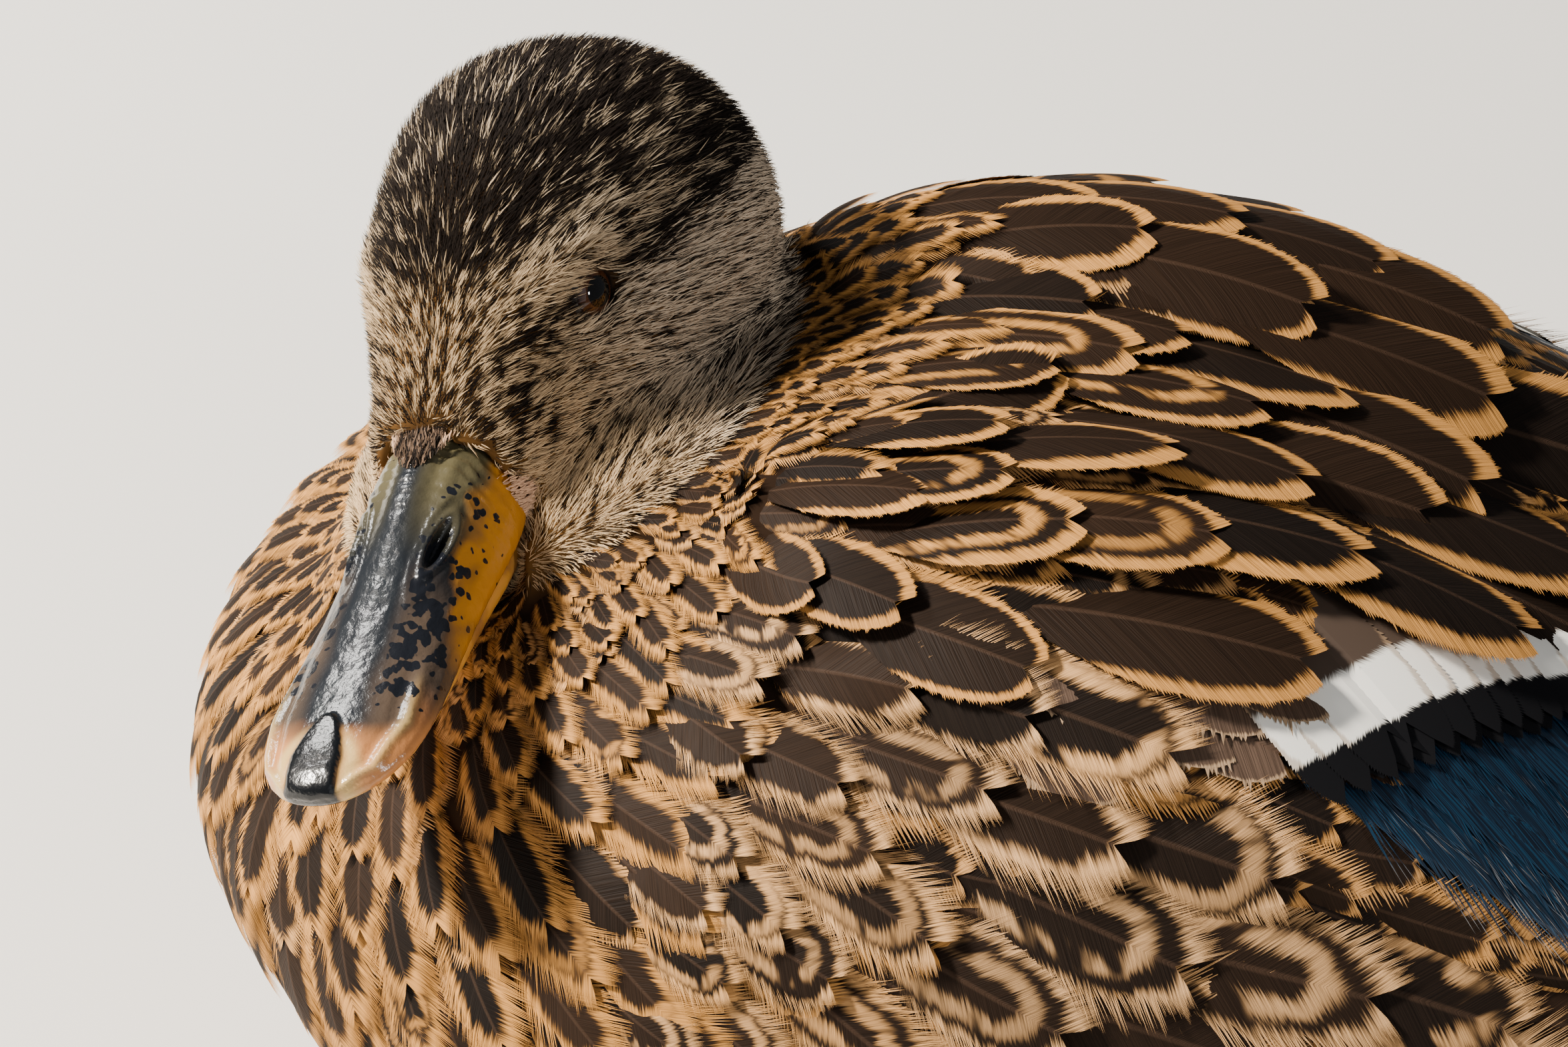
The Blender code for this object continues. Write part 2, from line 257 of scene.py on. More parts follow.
where = points_of(skin)
face = in_head(where)
on_head = headness(where)
near_eye = np.zeros(len(where))
fold = np.zeros(len(where))
for side in (1, -1):
    near_eye = np.maximum(near_eye, bump_at(face, (side * 17, 0, 0), (6, 7, 7)))
    fold += 1.5 * bump_at(face, (side * 16, 0, 6.6), (6, 8, 2.6))
    fold -= 1.5 * bump_at(face, (side * 16.5, 1.1, -0.2), (8, 3.6, 3.3))
    fold += 0.8 * bump_at(face, (side * 19, 8, -12), (7, 11, 7))
    fold -= 1.5 * bump_at(face, (side * 13, -12, -3), (6, 6, 3.4))
    fold -= 0.9 * bump_at(face, (side * 21, 15, 2.5), (6, 9, 2.6))
fold += 1.0 * bump_at(face, (0, -21, 1), (7, 7, 6)) + 1.3 * bump_at(face, (0, -24, -10), (14, 4, 13))
for side in (1, -1):
    fold += 1.1 * bump_at(face, (side * 10.5, -22.5, -13.5), (4, 3.6, 3.6))
depth = 2.6 * (1 - on_head) + 0.75 * on_head
depth *= 1 - 0.7 * near_eye
set_points(skin, where + normals_of(skin) * ((fold * on_head - depth) * MM)[:, None])
skin.data.shade_smooth()
skin_tree = BVHTree.FromObject(skin, bpy.context.evaluated_depsgraph_get())
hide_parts(*FLESH)
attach(skin, "root")
print("coat depth", round(depth.min(), 2), "to", round(depth.max(), 2), "mm")

# %% [markdown]
# ## How feathers lie
#
# Every feather has a place on the skin, a direction, a length and a width. The direction comes from one
# field: back from the bill over the head, away from the face down the neck, down over the breast and then
# straight to the tail. A path over the skin gives three points to each feather, so that it bends with the
# body.

# %% The lie of the coat
AXIS_Z = 65.0  # height in mm of the line that angles up the side are measured from


def body_place(points):
    """Distance along the body in mm, and the angle up its side in degrees."""
    points = np.asarray(points) / MM
    return points[:, 1], np.degrees(np.arctan2(points[:, 2] - AXIS_Z, np.abs(points[:, 0])))


def unit(vectors):
    """The same directions with a length of 1."""
    return vectors / np.maximum(np.linalg.norm(vectors, axis=-1, keepdims=True), 1e-9)


def lie(points, normals):
    """The direction in which feathers grow at these places."""
    along, up_side = body_place(points)
    down = np.interp(along, [-190, -165, -140, -110, -60, 150], [3.0, 1.6, 0.8, 0.42, 0.16, 0.0])
    down = down * np.maximum(np.clip((88 - up_side) / 60, 0, 1), ramp(along, -135, -170))
    side = np.sign(points[:, 0]) * -0.06 * ramp(up_side, 30, 60)
    body = np.stack([side, np.ones(len(points)), -down], axis=1)
    h = in_head(points)
    away = unit(points - np.array(head_middle)) + np.array([0.0, 0.45, -0.25])
    collar = 1 - ramp(egg_reach(h, (0, 6, -6), (44, 56, 52)), 0.85, 1.25)
    fall = 0.22 + 0.75 * ramp(h[:, 1], 12, 42)
    head = np.stack([h[:, 0] * 0.006, np.ones(len(points)), -fall], axis=1) @ head_axes.T
    k = headness(points)[:, None]
    field = head * k + (1 - k) * (away * collar[:, None] + body * (1 - collar[:, None]))
    return unit(field - normals * (field * normals).sum(axis=1, keepdims=True))


def on_skin(points):
    """The nearest places on the skin, with the normals there."""
    hits = [skin_tree.find_nearest(Vector(p)) for p in points]
    return np.array([h[0] for h in hits]), np.array([h[1] for h in hits])


def paths(roots, normals, lengths, stray, lift, turn=0.0):
    """Three points and three normals for each feather, from root to tip."""
    first = lie(roots, normals)
    angle = (rng.normal(0, 1, len(roots)) * stray + turn)[:, None]
    heading = first * np.cos(angle) + np.cross(normals, first) * np.sin(angle)
    half = (np.broadcast_to(lengths, len(roots)) / 2 * MM)[:, None]
    middle, middle_normal = on_skin(roots + heading * half)
    onward = heading - middle_normal * (heading * middle_normal).sum(axis=1, keepdims=True)
    tip, tip_normal = on_skin(middle + unit(onward) * half)
    lift = np.broadcast_to(lift, len(roots))
    rise = np.stack([np.full(len(roots), -0.4), lift * 0.62, lift])[:, :, None] * MM
    places = np.stack([roots, middle, tip]) + np.stack([normals, middle_normal, tip_normal]) * rise
    return places, np.stack([normals, middle_normal, tip_normal])


# %% [markdown]
# Places are thrown at random over the skin and kept where there is room. How much room depends on the part
# of the body: a quarter to a third of a millimetre between the strands of the head, up to 20 mm at the
# shoulder.

# %% Scattering roots
def skin_samples(count, favour=None):
    """Random places all over the skin, evenly by area or with a weight for each place."""
    mesh = skin.data
    mesh.calc_loop_triangles()
    corners = np.empty(len(mesh.loop_triangles) * 3, np.int32)
    mesh.loop_triangles.foreach_get("vertices", corners)
    triangle = points_of(skin)[corners.reshape(-1, 3)]
    crossed = np.cross(triangle[:, 1] - triangle[:, 0], triangle[:, 2] - triangle[:, 0])
    area = np.linalg.norm(crossed, axis=1)
    if favour:
        area = area * favour(triangle.mean(axis=1))
    pick = rng.choice(len(area), count, p=area / area.sum())
    a, b = rng.random((2, count, 1))
    swap = a + b > 1
    a, b = np.where(swap, 1 - a, a), np.where(swap, 1 - b, b)
    chosen = triangle[pick]
    return chosen[:, 0] * (1 - a - b) + chosen[:, 1] * a + chosen[:, 2] * b


AROUND = [(a, b, c) for a in (-1, 0, 1) for b in (-1, 0, 1) for c in (-1, 0, 1)]


def thin_out(points, room):
    """Indices of points that keep their room (mm) from all kept before them."""
    cell = room.max()
    grid, kept = {}, []
    for i, (p, r) in enumerate(zip((points / MM).tolist(), room.tolist())):
        key = tuple(int(v // cell) for v in p)
        near = (q for a, b, c in AROUND for q in grid.get((key[0] + a, key[1] + b, key[2] + c), ()))
        if all((p[0] - q[0]) ** 2 + (p[1] - q[1]) ** 2 + (p[2] - q[2]) ** 2 > r * r for q in near):
            grid.setdefault(key, []).append(p)
            kept.append(i)
    return np.array(kept, int)


# %% [markdown]
# A vane is drawn once, flat, with a width of 1 to each side and a length of 1. Its barbs leave the shaft at
# a slant and end in separate points, which makes the comb-like edge. Copies of it are then laid along the
# paths and joined into one mesh. Each vertex keeps its place on the vane, so that the material can draw
# shaft, bars and rim.

# %% The vane and the coat
ROUND_FROM = 0.55  # share of the vane's length from which its tip is round
FLOOR_GAP = 0.1  # mm that feathers keep above the floor
BARB_GAP = 0.26  # mm from one streak of the barbs to the next
TOOTH_RUN = 9  # neighbouring points of the edge that a gap in the comb is smoothed over
BODY_ROUND, HEAD_ROUND = 0.08, 0.03  # m, the radii that the flat maps unroll body and head with


def outline_width(y, blunt=2.2):
    """Half width of a vane at a share of its length."""
    tip = np.clip((y - ROUND_FROM) / (1 - ROUND_FROM), 0, 1)
    base = 0.30 + 0.70 * np.sin(np.clip(y / ROUND_FROM, 0, 1) * math.pi / 2)
    return base * (1 - tip**blunt) ** (1 / blunt)


def vane(barbs, comb, teeth=2, slant=0.34, blunt=2.2):
    """Points (across, along, share out along the barb) and faces of a flat vane with a comb for an edge."""
    steps = np.linspace(0, 1, barbs + 1)
    ends = 0.03 + 0.955 * np.sin(steps * math.pi / 2) ** 1.15
    points, faces = [], []

    def barb(side, y, k):
        x = outline_width(y, blunt)
        root = max(y - slant * x, 0.0)
        return side * x * k, root + (y - root) * k**0.8, k

    for side in (-1, 1):
        base = len(points)
        points += [barb(side, y, k) for y in ends for k in (0, 0.5, 1 - comb)]
        for i in range(barbs):
            a, b = base + 3 * i, base + 3 * i + 3
            faces += [(a, b, b + 1, a + 1)[::-side], (a + 1, b + 1, b + 2, a + 2)[::-side]]
            for j in range(teeth):
                low, mid, high = (ends[i] + (ends[i + 1] - ends[i]) * (j + k) / teeth for k in (0, 0.5, 1))
                faces.append((len(points), len(points) + 1, len(points) + 2)[::-side])
                points += [barb(side, low, 1 - comb), barb(side, high, 1 - comb), barb(side, mid, 1)]
    return np.array(points), faces


def strand(bend=0.4):
    """A single barb: a narrow blade that ends in a point."""
    points = [(-0.6, 0, 0), (0.6, 0, 0), (-1, bend, 0.5), (1, bend, 0.5), (0, 1, 1)]
    return np.array(points, float), [(0, 1, 3, 2), (2, 3, 4)]


def wrap(points, head):
    """A flat map of the skin's own shape: round the body, or round the head, by place along it."""
    if head:
        h = in_head(points) * MM
        return np.stack([np.arctan2(h[:, 0], h[:, 2] + 0.006) * HEAD_ROUND, h[:, 1]], axis=1)
    round_it = np.arctan2(points[:, 0], points[:, 2] - AXIS_Z * MM)
    return np.stack([round_it * BODY_ROUND, points[:, 1]], axis=1)


def along_curve(ends, weights):
    """Weighted sums of three (or two) vectors for each feather, at every point of its vane."""
    return sum(end[:, None] * weight[:, None] for end, weight in zip(ends, weights))


def vane_mesh(name, points, faces):
    """A mesh of many copies of one vane, from the points of all of them and the faces of one."""
    count, size = points.shape[:2]
    sizes = np.array([len(f) for f in faces])
    corners = np.concatenate([np.array(f) for f in faces])
    mesh = bpy.data.meshes.new(name)
    mesh.vertices.add(count * size)
    mesh.vertices.foreach_set("co", points.astype(np.float32).ravel())
    loops = (corners[None] + (np.arange(count) * size)[:, None]).ravel()
    mesh.loops.add(len(loops))
    mesh.loops.foreach_set("vertex_index", loops.astype(np.int32))
    mesh.polygons.add(count * len(faces))
    starts = np.concatenate([[0], np.cumsum(np.tile(sizes, count))[:-1]])
    mesh.polygons.foreach_set("loop_start", starts.astype(np.int32))
    mesh.polygons.foreach_set("loop_total", np.tile(sizes, count).astype(np.int32))
    print(f"{name}: {count} feathers, {count * int((sizes - 2).sum())} triangles")
    return mesh, corners


def clothe(
    name, shape, places, normals, lengths, widths, finish,
    arch=0.16, roll=0.0, ragged=0.12, head=False, **marks,
):
    """Lays one vane along each path and joins them all into one piece of the coat."""
    flat, faces = shape
    x, y, out = flat.T
    count, size = places.shape[1], len(flat)
    lengths, widths = np.broadcast_to(lengths, count), np.broadcast_to(widths, count)
    weights = (1 - y) ** 2, 2 * y * (1 - y), y**2
    p0, pm, p2 = places
    p1 = 2 * pm - (p0 + p2) / 2
    centre = along_curve((p0, p1, p2), weights)
    tangent = unit(along_curve((p1 - p0, p2 - p1), (1 - y, y)))
    upward = unit(along_curve(normals, weights))
    across = unit(np.cross(tangent, upward))
    upward = np.cross(across, tangent)
    tooth = rng.normal(0, ragged, (count, size + TOOTH_RUN - 1))
    smooth = sum(tooth[:, k : k + size] for k in range(TOOTH_RUN)) / 4
    tooth = (smooth + tooth[:, :size] * 0.5) * (out > 0.99)
    reach = x * (1 + tooth) * widths[:, None] * MM
    belly_side = -np.sign(across[:, :1, 2] + 1e-9)
    height = (arch * (0.5 - x**2) + roll * x * belly_side) * widths[:, None] * MM
    points = centre + across * reach[:, :, None] + upward * height[:, :, None]
    points = points + tangent * (tooth * 0.5 * widths[:, None] * MM)[:, :, None]
    points[:, :, 2] = np.maximum(points[:, :, 2], FLOOR_GAP * MM)
    mesh, corners = vane_mesh(name, points, faces)
    place = np.tile(np.stack([x, y], axis=1)[corners], (count, 1))
    mesh.uv_layers.new(name="vane").data.foreach_set("uv", place.astype(np.float32).ravel())
    root = wrap(p0, head)
    low, span = root.min(axis=0), np.ptp(root, axis=0).max()
    patch = np.clip(widths * MM / span, 0.0015, 0.02)
    local = np.stack([x, y * 2 - 1], axis=1)[None] * patch[:, None, None]
    spread = (0.02 + 0.96 * (root - low) / span)[:, None] + local
    mesh.uv_layers.new(name="OFBake").data.foreach_set("uv", spread[:, corners].astype(np.float32).ravel())
    for key, values in dict(marks, tone=rng.random(count), grain=lengths / BARB_GAP).items():
        values = np.asarray(values, float)
        if values.ndim == 2:
            paint(mesh, key, np.repeat(np.broadcast_to(values, (count, 3)), size, axis=0))
        else:
            layer = mesh.attributes.new(key, "FLOAT", "POINT")
            per_point = np.repeat(np.broadcast_to(values, count), size)
            layer.data.foreach_set("value", per_point.astype(np.float32))
    mesh.update(calc_edges=True)
    mesh.shade_smooth()
    mesh.materials.append(finish)
    piece = bpy.data.objects.new(name, mesh)
    bpy.context.scene.collection.objects.link(piece)
    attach(piece, "root")
    return piece


# %% [markdown]
# ## Materials of the plumage
#
# A feather's colour follows its own shape. One node group measures how near a point lies to the edge of its
# vane, roughened barb by barb, and gives the fine streaks that the barbs make, so every feather shares it.
# The body feathers then mix a pale ground with dark marks by these values. The widths of rim and bar differ
# between breast, flank and shoulder.

# %% Node helpers and the vane's groups
def wire(tree, kind, settings=None, **inputs):
    """Adds a node, sets it, and links or sets its inputs by name or number."""
    node = tree.nodes.new(kind)
    for key, value in (settings or {}).items():
        setattr(node, key, value)
    for key, value in inputs.items():
        key = int(key[1:]) if key[0] == "i" and key[1:].isdigit() else key.replace("_", " ")
        if isinstance(value, bpy.types.NodeSocket):
            tree.links.new(value, node.inputs[key])
        else:
            node.inputs[key].default_value = value
    return node


def maths(tree, operation, a, b=0.0, c=0.0, clamp=False):
    """One step of arithmetic."""
    settings = dict(operation=operation, use_clamp=clamp)
    return wire(tree, "ShaderNodeMath", settings, i0=a, i1=b, i2=c).outputs[0]


def step(tree, value, low, high):
    """A soft step between two values."""
    smooth = dict(interpolation_type="SMOOTHSTEP")
    limits = dict(From_Min=low, From_Max=high)
    return wire(tree, "ShaderNodeMapRange", smooth, Value=value, **limits).outputs["Result"]


def blend_colours(tree, share, first, second):
    """The first colour where share is 0, the second where it is 1."""
    node = wire(tree, "ShaderNodeMix", dict(data_type="RGBA"), i0=share, i6=first, i7=second)
    return node.outputs[2]


def vector_maths(tree, operation, output=0, **inputs):
    """One step of arithmetic with vectors or colours."""
    return wire(tree, "ShaderNodeVectorMath", dict(operation=operation), **inputs).outputs[output]


def noise(tree, vector, scale, detail, output=0):
    """Soft random values from 0 to 1, or colours."""
    return wire(tree, "ShaderNodeTexNoise", Vector=vector, Scale=scale, Detail=detail).outputs[output]


def parts_of(tree, vector):
    """The X, Y and Z of a vector."""
    return wire(tree, "ShaderNodeSeparateXYZ", Vector=vector).outputs


def own_map(tree, name):
    """Places on one of the piece's own flat maps."""
    return wire(tree, "ShaderNodeUVMap", dict(uv_map=name)).outputs[0]


def own_place(tree):
    """Places on the piece itself, in metres."""
    return wire(tree, "ShaderNodeTexCoord").outputs["Object"]


def roughen(tree, shader, height, strength, distance):
    """A fine relief for a material, with its depth in metres."""
    relief = wire(tree, "ShaderNodeBump", Strength=strength, Distance=distance, Height=height)
    tree.links.new(relief.outputs[0], shader.inputs["Normal"])


def new_group(name, inputs, outputs):
    """An empty node group, the values that it is given and those that it gives."""
    group = bpy.data.node_groups.new(name, "ShaderNodeTree")
    for label, kind in inputs:
        group.interface.new_socket(name=label, in_out="INPUT", socket_type=kind)
    for label, kind in outputs:
        group.interface.new_socket(name=label, in_out="OUTPUT", socket_type=kind)
    return group, group.nodes.new("NodeGroupInput").outputs, group.nodes.new("NodeGroupOutput").inputs


NUMBER = "NodeSocketFloat"
edge_group, given, result = new_group(
    "vane_edge",
    [("Vane", "NodeSocketVector")] + [(n, NUMBER) for n in ("Tone", "Rag", "Grain", "Sway")],
    [(n, NUMBER) for n in ("Edge", "Streak", "Shaft", "Patch", "Tip")],
)


def in_group(operation, a, b=0.0):
    """One step of arithmetic in the vane's group."""
    return maths(edge_group, operation, a, b)


def barb_noise(stretched, detail):
    """Noise that runs along the barbs and differs from feather to feather."""
    at = wire(edge_group, "ShaderNodeCombineXYZ", X=stretched, Y=split[0], Z=odd).outputs[0]
    return noise(edge_group, at, 1.0, detail)


split = parts_of(edge_group, given["Vane"])
across_it = in_group("ABSOLUTE", split[0])
barb_row = in_group("SUBTRACT", split[1], in_group("MULTIPLY", across_it, 0.30))
odd = in_group("MULTIPLY", given["Tone"], 37.0)
barbs = barb_noise(in_group("MULTIPLY", barb_row, given["Grain"]), 1.0)
wide = barb_noise(in_group("MULTIPLY", barb_row, 6.0), 2.0)
tip_limits = dict(From_Min=ROUND_FROM, From_Max=1.0)
tip_part = wire(edge_group, "ShaderNodeMapRange", Value=split[1], **tip_limits).outputs[0]
squares = in_group("ADD", in_group("POWER", across_it, 2.0), in_group("POWER", tip_part, 2.0))
radius = in_group("SQRT", squares)
jag = in_group("MULTIPLY", in_group("SUBTRACT", barbs, 0.5), given["Rag"])
sway = in_group("MULTIPLY", in_group("SUBTRACT", wide, 0.5), given["Sway"])
made = dict(
    Edge=in_group("ADD", radius, in_group("ADD", jag, sway)),
    Streak=barbs,
    Patch=wide,
    Tip=tip_part,
    Shaft=step(edge_group, across_it, 0.05, 0.015),
)
for label, value in made.items():
    edge_group.links.new(value, result[label])


def read(tree, name, output="Fac"):
    """What the mesh keeps under this name at each point."""
    return wire(tree, "ShaderNodeAttribute", dict(attribute_name=name)).outputs[output]


def vane_values(tree, rag):
    """The outputs of the vane's group for this mesh."""
    node = wire(tree, "ShaderNodeGroup", dict(node_tree=edge_group))
    tree.links.new(own_map(tree, "vane"), node.inputs["Vane"])
    tree.links.new(read(tree, "tone"), node.inputs["Tone"])
    tree.links.new(read(tree, "grain"), node.inputs["Grain"])
    node.inputs["Rag"].default_value = rag
    node.inputs["Sway"].default_value = 0.3
    return node.outputs


def new_finish(name, roughness, **settings):
    """A material with constants on its shader's own sockets, its node tree and its shader."""
    finish = bpy.data.materials.new(name)
    finish.use_nodes = True
    shader = finish.node_tree.nodes["Principled BSDF"]
    shader.inputs["Roughness"].default_value = roughness
    for key, value in settings.items():
        shader.inputs[key.replace("_", " ")].default_value = value
    return finish, finish.node_tree, shader


def colour_it(tree, shader, colour):
    """Links a colour to a shader."""
    tree.links.new(colour, shader.inputs["Base Color"])


# %% Barred body feathers
barred_finish, tree, shader = new_finish("barred_feather", 0.60, Specular_IOR_Level=0.06)
values = vane_values(tree, 0.30)
rim, band, tone = read(tree, "rim"), read(tree, "band"), read(tree, "tone")
tree.links.new(maths(tree, "MULTIPLY_ADD", rim, 0.7, 0.02), values["Edge"].node.inputs["Sway"])
tree.links.new(maths(tree, "MULTIPLY_ADD", rim, 0.45, 0.08), values["Edge"].node.inputs["Rag"])
rim = maths(tree, "MULTIPLY", rim, maths(tree, "MULTIPLY_ADD", values["Tip"], -0.45, 1.0))
pale_from = maths(tree, "MULTIPLY_ADD", rim, -1.2, 0.98)
pale_full = maths(tree, "MULTIPLY_ADD", rim, -0.8, 1.02)
pale = step(tree, values["Edge"], pale_from, pale_full)
band_at = maths(tree, "MULTIPLY_ADD", tone, 0.26, 0.30)
from_band = maths(tree, "ABSOLUTE", maths(tree, "SUBTRACT", values["Edge"], band_at))
broken = step(tree, values["Patch"], 0.36, 0.50)
inner = maths(tree, "MULTIPLY", step(tree, from_band, 0.17, 0.03), band)
inner = maths(tree, "MULTIPLY", inner, broken, clamp=True)
share = maths(tree, "MAXIMUM", pale, inner)
streaked = maths(tree, "MULTIPLY_ADD", values["Streak"], 1.3, 0.35)
ground = vector_maths(tree, "SCALE", i0=read(tree, "ground", "Color"), Scale=streaked)
mark = vector_maths(tree, "SCALE", i0=read(tree, "mark", "Color"), Scale=streaked)
mark = blend_colours(tree, maths(tree, "MULTIPLY", values["Shaft"], 0.3), mark, (0.07, 0.04, 0.025, 1))
colour_it(tree, shader, blend_colours(tree, share, mark, ground))
roughen(tree, shader, values["Streak"], 0.4, 0.0003)

# %% Hair-like feathers of the head
strand_finish, tree, shader = new_finish("head_feather", 0.7, Specular_IOR_Level=0.06)
colour_it(tree, shader, read(tree, "ground", "Color"))

# %% Colours by place
BUFF = np.array([0.46, 0.215, 0.055])
CREAM = np.array([0.54, 0.31, 0.14])
BROWN = np.array([0.021, 0.011, 0.006])
BLACK = np.array([0.006, 0.004, 0.003])


def mixed(first, second, share):
    """The first colour where share is 0, the second where it is 1."""
    share = np.asarray(share)[:, None]
    return first * (1 - share) + second * share


def mottle(points, size, seed):
    """A smooth random field, mostly from -1 to 1, that varies over about this many mm."""
    local = np.random.default_rng(seed)
    wave = unit(local.normal(size=(14, 3))) * local.uniform(0.6, 1.6, (14, 1)) * 2 * math.pi / (size * MM)
    return np.sin(points @ wave.T + local.uniform(0, 6.28, 14)).sum(axis=1) / 14**0.5


def face_shade(points):
    """How dark the head's plumage is, from 0 for buff to 1 for blackish brown, with painted shade on the
    neck under the head and the cheeks lightened partly as painted light.
    """
    x, y, z = in_head(points).T
    x = np.abs(x)
    place = np.stack([x, y, z], axis=1)
    shade = 0.44 + 0.10 * ramp(y, 15, 42) + 0.12 * ramp(z, -8, 2) * ramp(y, 0, -12)
    shade += 0.34 * bump_at(place, (0, -28, -3), (4.5, 8, 6))
    shade += 0.25 * bump_at(place, (8, -21, -7), (4, 6, 4))
    shade += 0.50 * ramp(z + 0.25 * y, 4, 12) * ramp(y, -27, -6) * (1 - ramp(y, 30, 46))
    # the cheeks are a little paler: partly their own colour, partly painted light where the lamps leave them
    # dim
    shade -= 0.08 * ramp(x, 9, 15) * ramp(z, 1, -4) * ramp(y, -14, -2)
    over_brow = z - 7.5 - 0.08 * np.maximum(y, 0) + 0.10 * np.maximum(-y, 0)
    brow = np.exp(-((over_brow / 3.2) ** 2)) * ramp(y, 38, 14) * ramp(x, 6, 11)
    over_stripe = z - 0.8 + 0.05 * y
    stripe = np.exp(-((over_stripe / 2.0) ** 2)) * ramp(x, 6, 10) * (0.8 + 0.2 * ramp(y, 0, 14))
    gape = bump_at(place, (12, -19, -16), (7, 7, 5))
    throat = 0.8 * ramp(z, -17, -25) * (1 - ramp(y, -8, 12))
    # the neck under the head is darker: painted shade
    shade += 0.14 * ramp(z, -12, -24) * ramp(y, -4, 14)
    shade = shade - 0.27 * brow + 0.36 * stripe
    return np.clip(shade * (1 - 0.75 * gape) * (1 - 0.85 * throat), 0, 1)


# %% [markdown]
# ## Putting the coat on
#
# The head first: some tens of thousands of single barbs, each one dark or pale by its place on the face.
# Crown and eye stripe are nearly black, a pale brow runs from the bill over the eye, the cheeks are
# streaked and the throat is plain. Where the bill begins, a dark tuft lies on its ridge and a pale lobe of
# fluff bulges at each side.

# %% The head's feathers
def covered_by_bill(at):
    """Places of the face that the bill hides."""
    forward = -at[:, 1]
    half = np.interp(forward, [16, 20, 27], [7.5, 9.2, 10.0]) - 1.4
    between = (at[:, 2] < np.interp(forward, [18, 27], [-6.5, -4.0])) & (at[:, 2] > -24)
    return (forward > 18) & (np.abs(at[:, 0]) < half) & between


def strands(name, places, normals, lengths, widths, tint):
    """A coat of single barbs."""
    blade = dict(arch=0.2, roll=0.0, ragged=0.0, head=True)
    clothe(name, strand(), places, normals, lengths, widths, strand_finish, **blade, ground=tint)


HEAD_SAMPLES = 650000
spots = skin_samples(HEAD_SAMPLES, headness)
at = in_head(spots)
eye_gap = np.min([egg_reach(at, (side * 16, -0.9, 0.2), (9, 3.9, 3.3)) for side in (1, -1)], axis=0)
fine = ramp(at[:, 1], -28, 20)
grows = np.flatnonzero((headness(spots) > 0.3) & (eye_gap > 1) & ~covered_by_bill(at))
grows = grows[thin_out(spots[grows], 0.25 + 0.08 * fine[grows])]
roots, normals = on_skin(spots[grows])
at, fine = at[grows], fine[grows]
lengths = 1.8 + 2.2 * fine + rng.normal(0, 0.3, len(roots))
cheek = ramp(np.abs(at[:, 0]), 9, 15) * ramp(at[:, 2], 3, -3) * ramp(at[:, 1], -16, -4)
drawn_out = at * (1, 0.42, 1) * MM
streaks = (1 - cheek) * 0.40 * mottle(drawn_out, 1.7, 3) + cheek * 0.34 * mottle(drawn_out, 1.1, 5)
streaks = streaks + (0.08 - 0.04 * cheek) * mottle(at * (1, 0.5, 1) * MM, 4.0, 8)
fleck = rng.normal(0, 0.13, len(roots)) * (1 + 0.4 * cheek)
shade = ramp(face_shade(roots) + streaks + fleck, 0.34, 0.68)
behind = ramp(at[:, 1], -18, 8)[:, None]
FRONT_PALE = np.array([0.52, 0.36, 0.20])
NAPE_PALE = np.array([0.38, 0.29, 0.19])
# the cheeks' pale is their own paler buff-grey, made lighter still as painted light where the lamps leave
# the cheek dim
CHEEK_PALE_AND_LIT = np.array([0.50, 0.40, 0.29])
pale = FRONT_PALE * (1 - behind) + mixed(NAPE_PALE, CHEEK_PALE_AND_LIT, cheek) * behind
tint = mixed(pale, BLACK * 1.3, shade) * rng.uniform(0.75, 1.2, len(roots))[:, None]
rise = (0.75 + 0.55 * fine) * rng.uniform(0.6, 1.7, len(roots))
places, path_normals = paths(roots, normals, lengths, 0.16, rise)

# %% Tuft and lobes where the bill begins
TUFT, LOBES = 1500, 1100  # strands
LOBE_PALE = np.array([0.60, 0.37, 0.23])
tuft_x = np.clip(rng.normal(0, 2.3, TUFT), -5.2, 5.2)
tuft_y = rng.uniform(19.0, 30.3 - 0.24 * tuft_x**2)
tuft_z = np.interp(tuft_y, [19, 23, 25, 33], [-0.9, -1.6, -1.8, -3.8]) - 0.045 * tuft_x**2
lobe_side = rng.choice((-1, 1), LOBES)
lobe_y = rng.normal(23.6, 1.5, LOBES)
lobe_z = rng.normal(-14.2, 2.3, LOBES)
lobe_x = lobe_side * (10.9 - 0.05 * (lobe_z + 14) ** 2 - 0.16 * np.maximum(lobe_y - 22.5, 0) ** 2)
tuft = np.stack([tuft_x, -tuft_y, tuft_z], axis=1)
lobes = np.stack([lobe_x, -lobe_y, lobe_z], axis=1)
extra = np.concatenate([tuft, lobes])
lobe_up = np.stack([lobe_side * 0.95, np.full(LOBES, -0.3), np.full(LOBES, 0.1)], axis=1)
extra_up = np.concatenate([np.tile((0, -0.3, 0.95), (TUFT, 1)), lobe_up])
extra_run = np.concatenate([np.tile((0, 0.95, 0.05), (TUFT, 1)), np.tile((0, 0.9, -0.25), (LOBES, 1))])
extra_run = extra_run + rng.normal(0, 0.2, extra_run.shape)
extra_long = np.concatenate([rng.normal(1.7, 0.25, TUFT), rng.normal(1.6, 0.25, LOBES)])
run = extra_run * extra_long[:, None]
stations = ((0, -0.15), (0.5, 0.35), (1, 0.45))
extra_path = np.stack([out_of_head(extra + run * k + extra_up * lift) for k, lift in stations])
extra_normals = np.stack([unit(extra_up @ head_axes.T)] * 3)
tuft_shade = rng.normal(0.95, 0.12, TUFT) - 0.8 * ramp(np.abs(tuft_x), 2.6, 4.4)
extra_shade = np.concatenate([tuft_shade, rng.uniform(-0.3, 0.45, LOBES)])
extra_tint = mixed(LOBE_PALE, BLACK * 1.3, np.clip(extra_shade, 0, 1))
strands("bill_base_feathers", extra_path, extra_normals, extra_long, 0.11, extra_tint)
wide_by = 0.070 + 0.022 * fine
left_half = at[:, 0] > 0
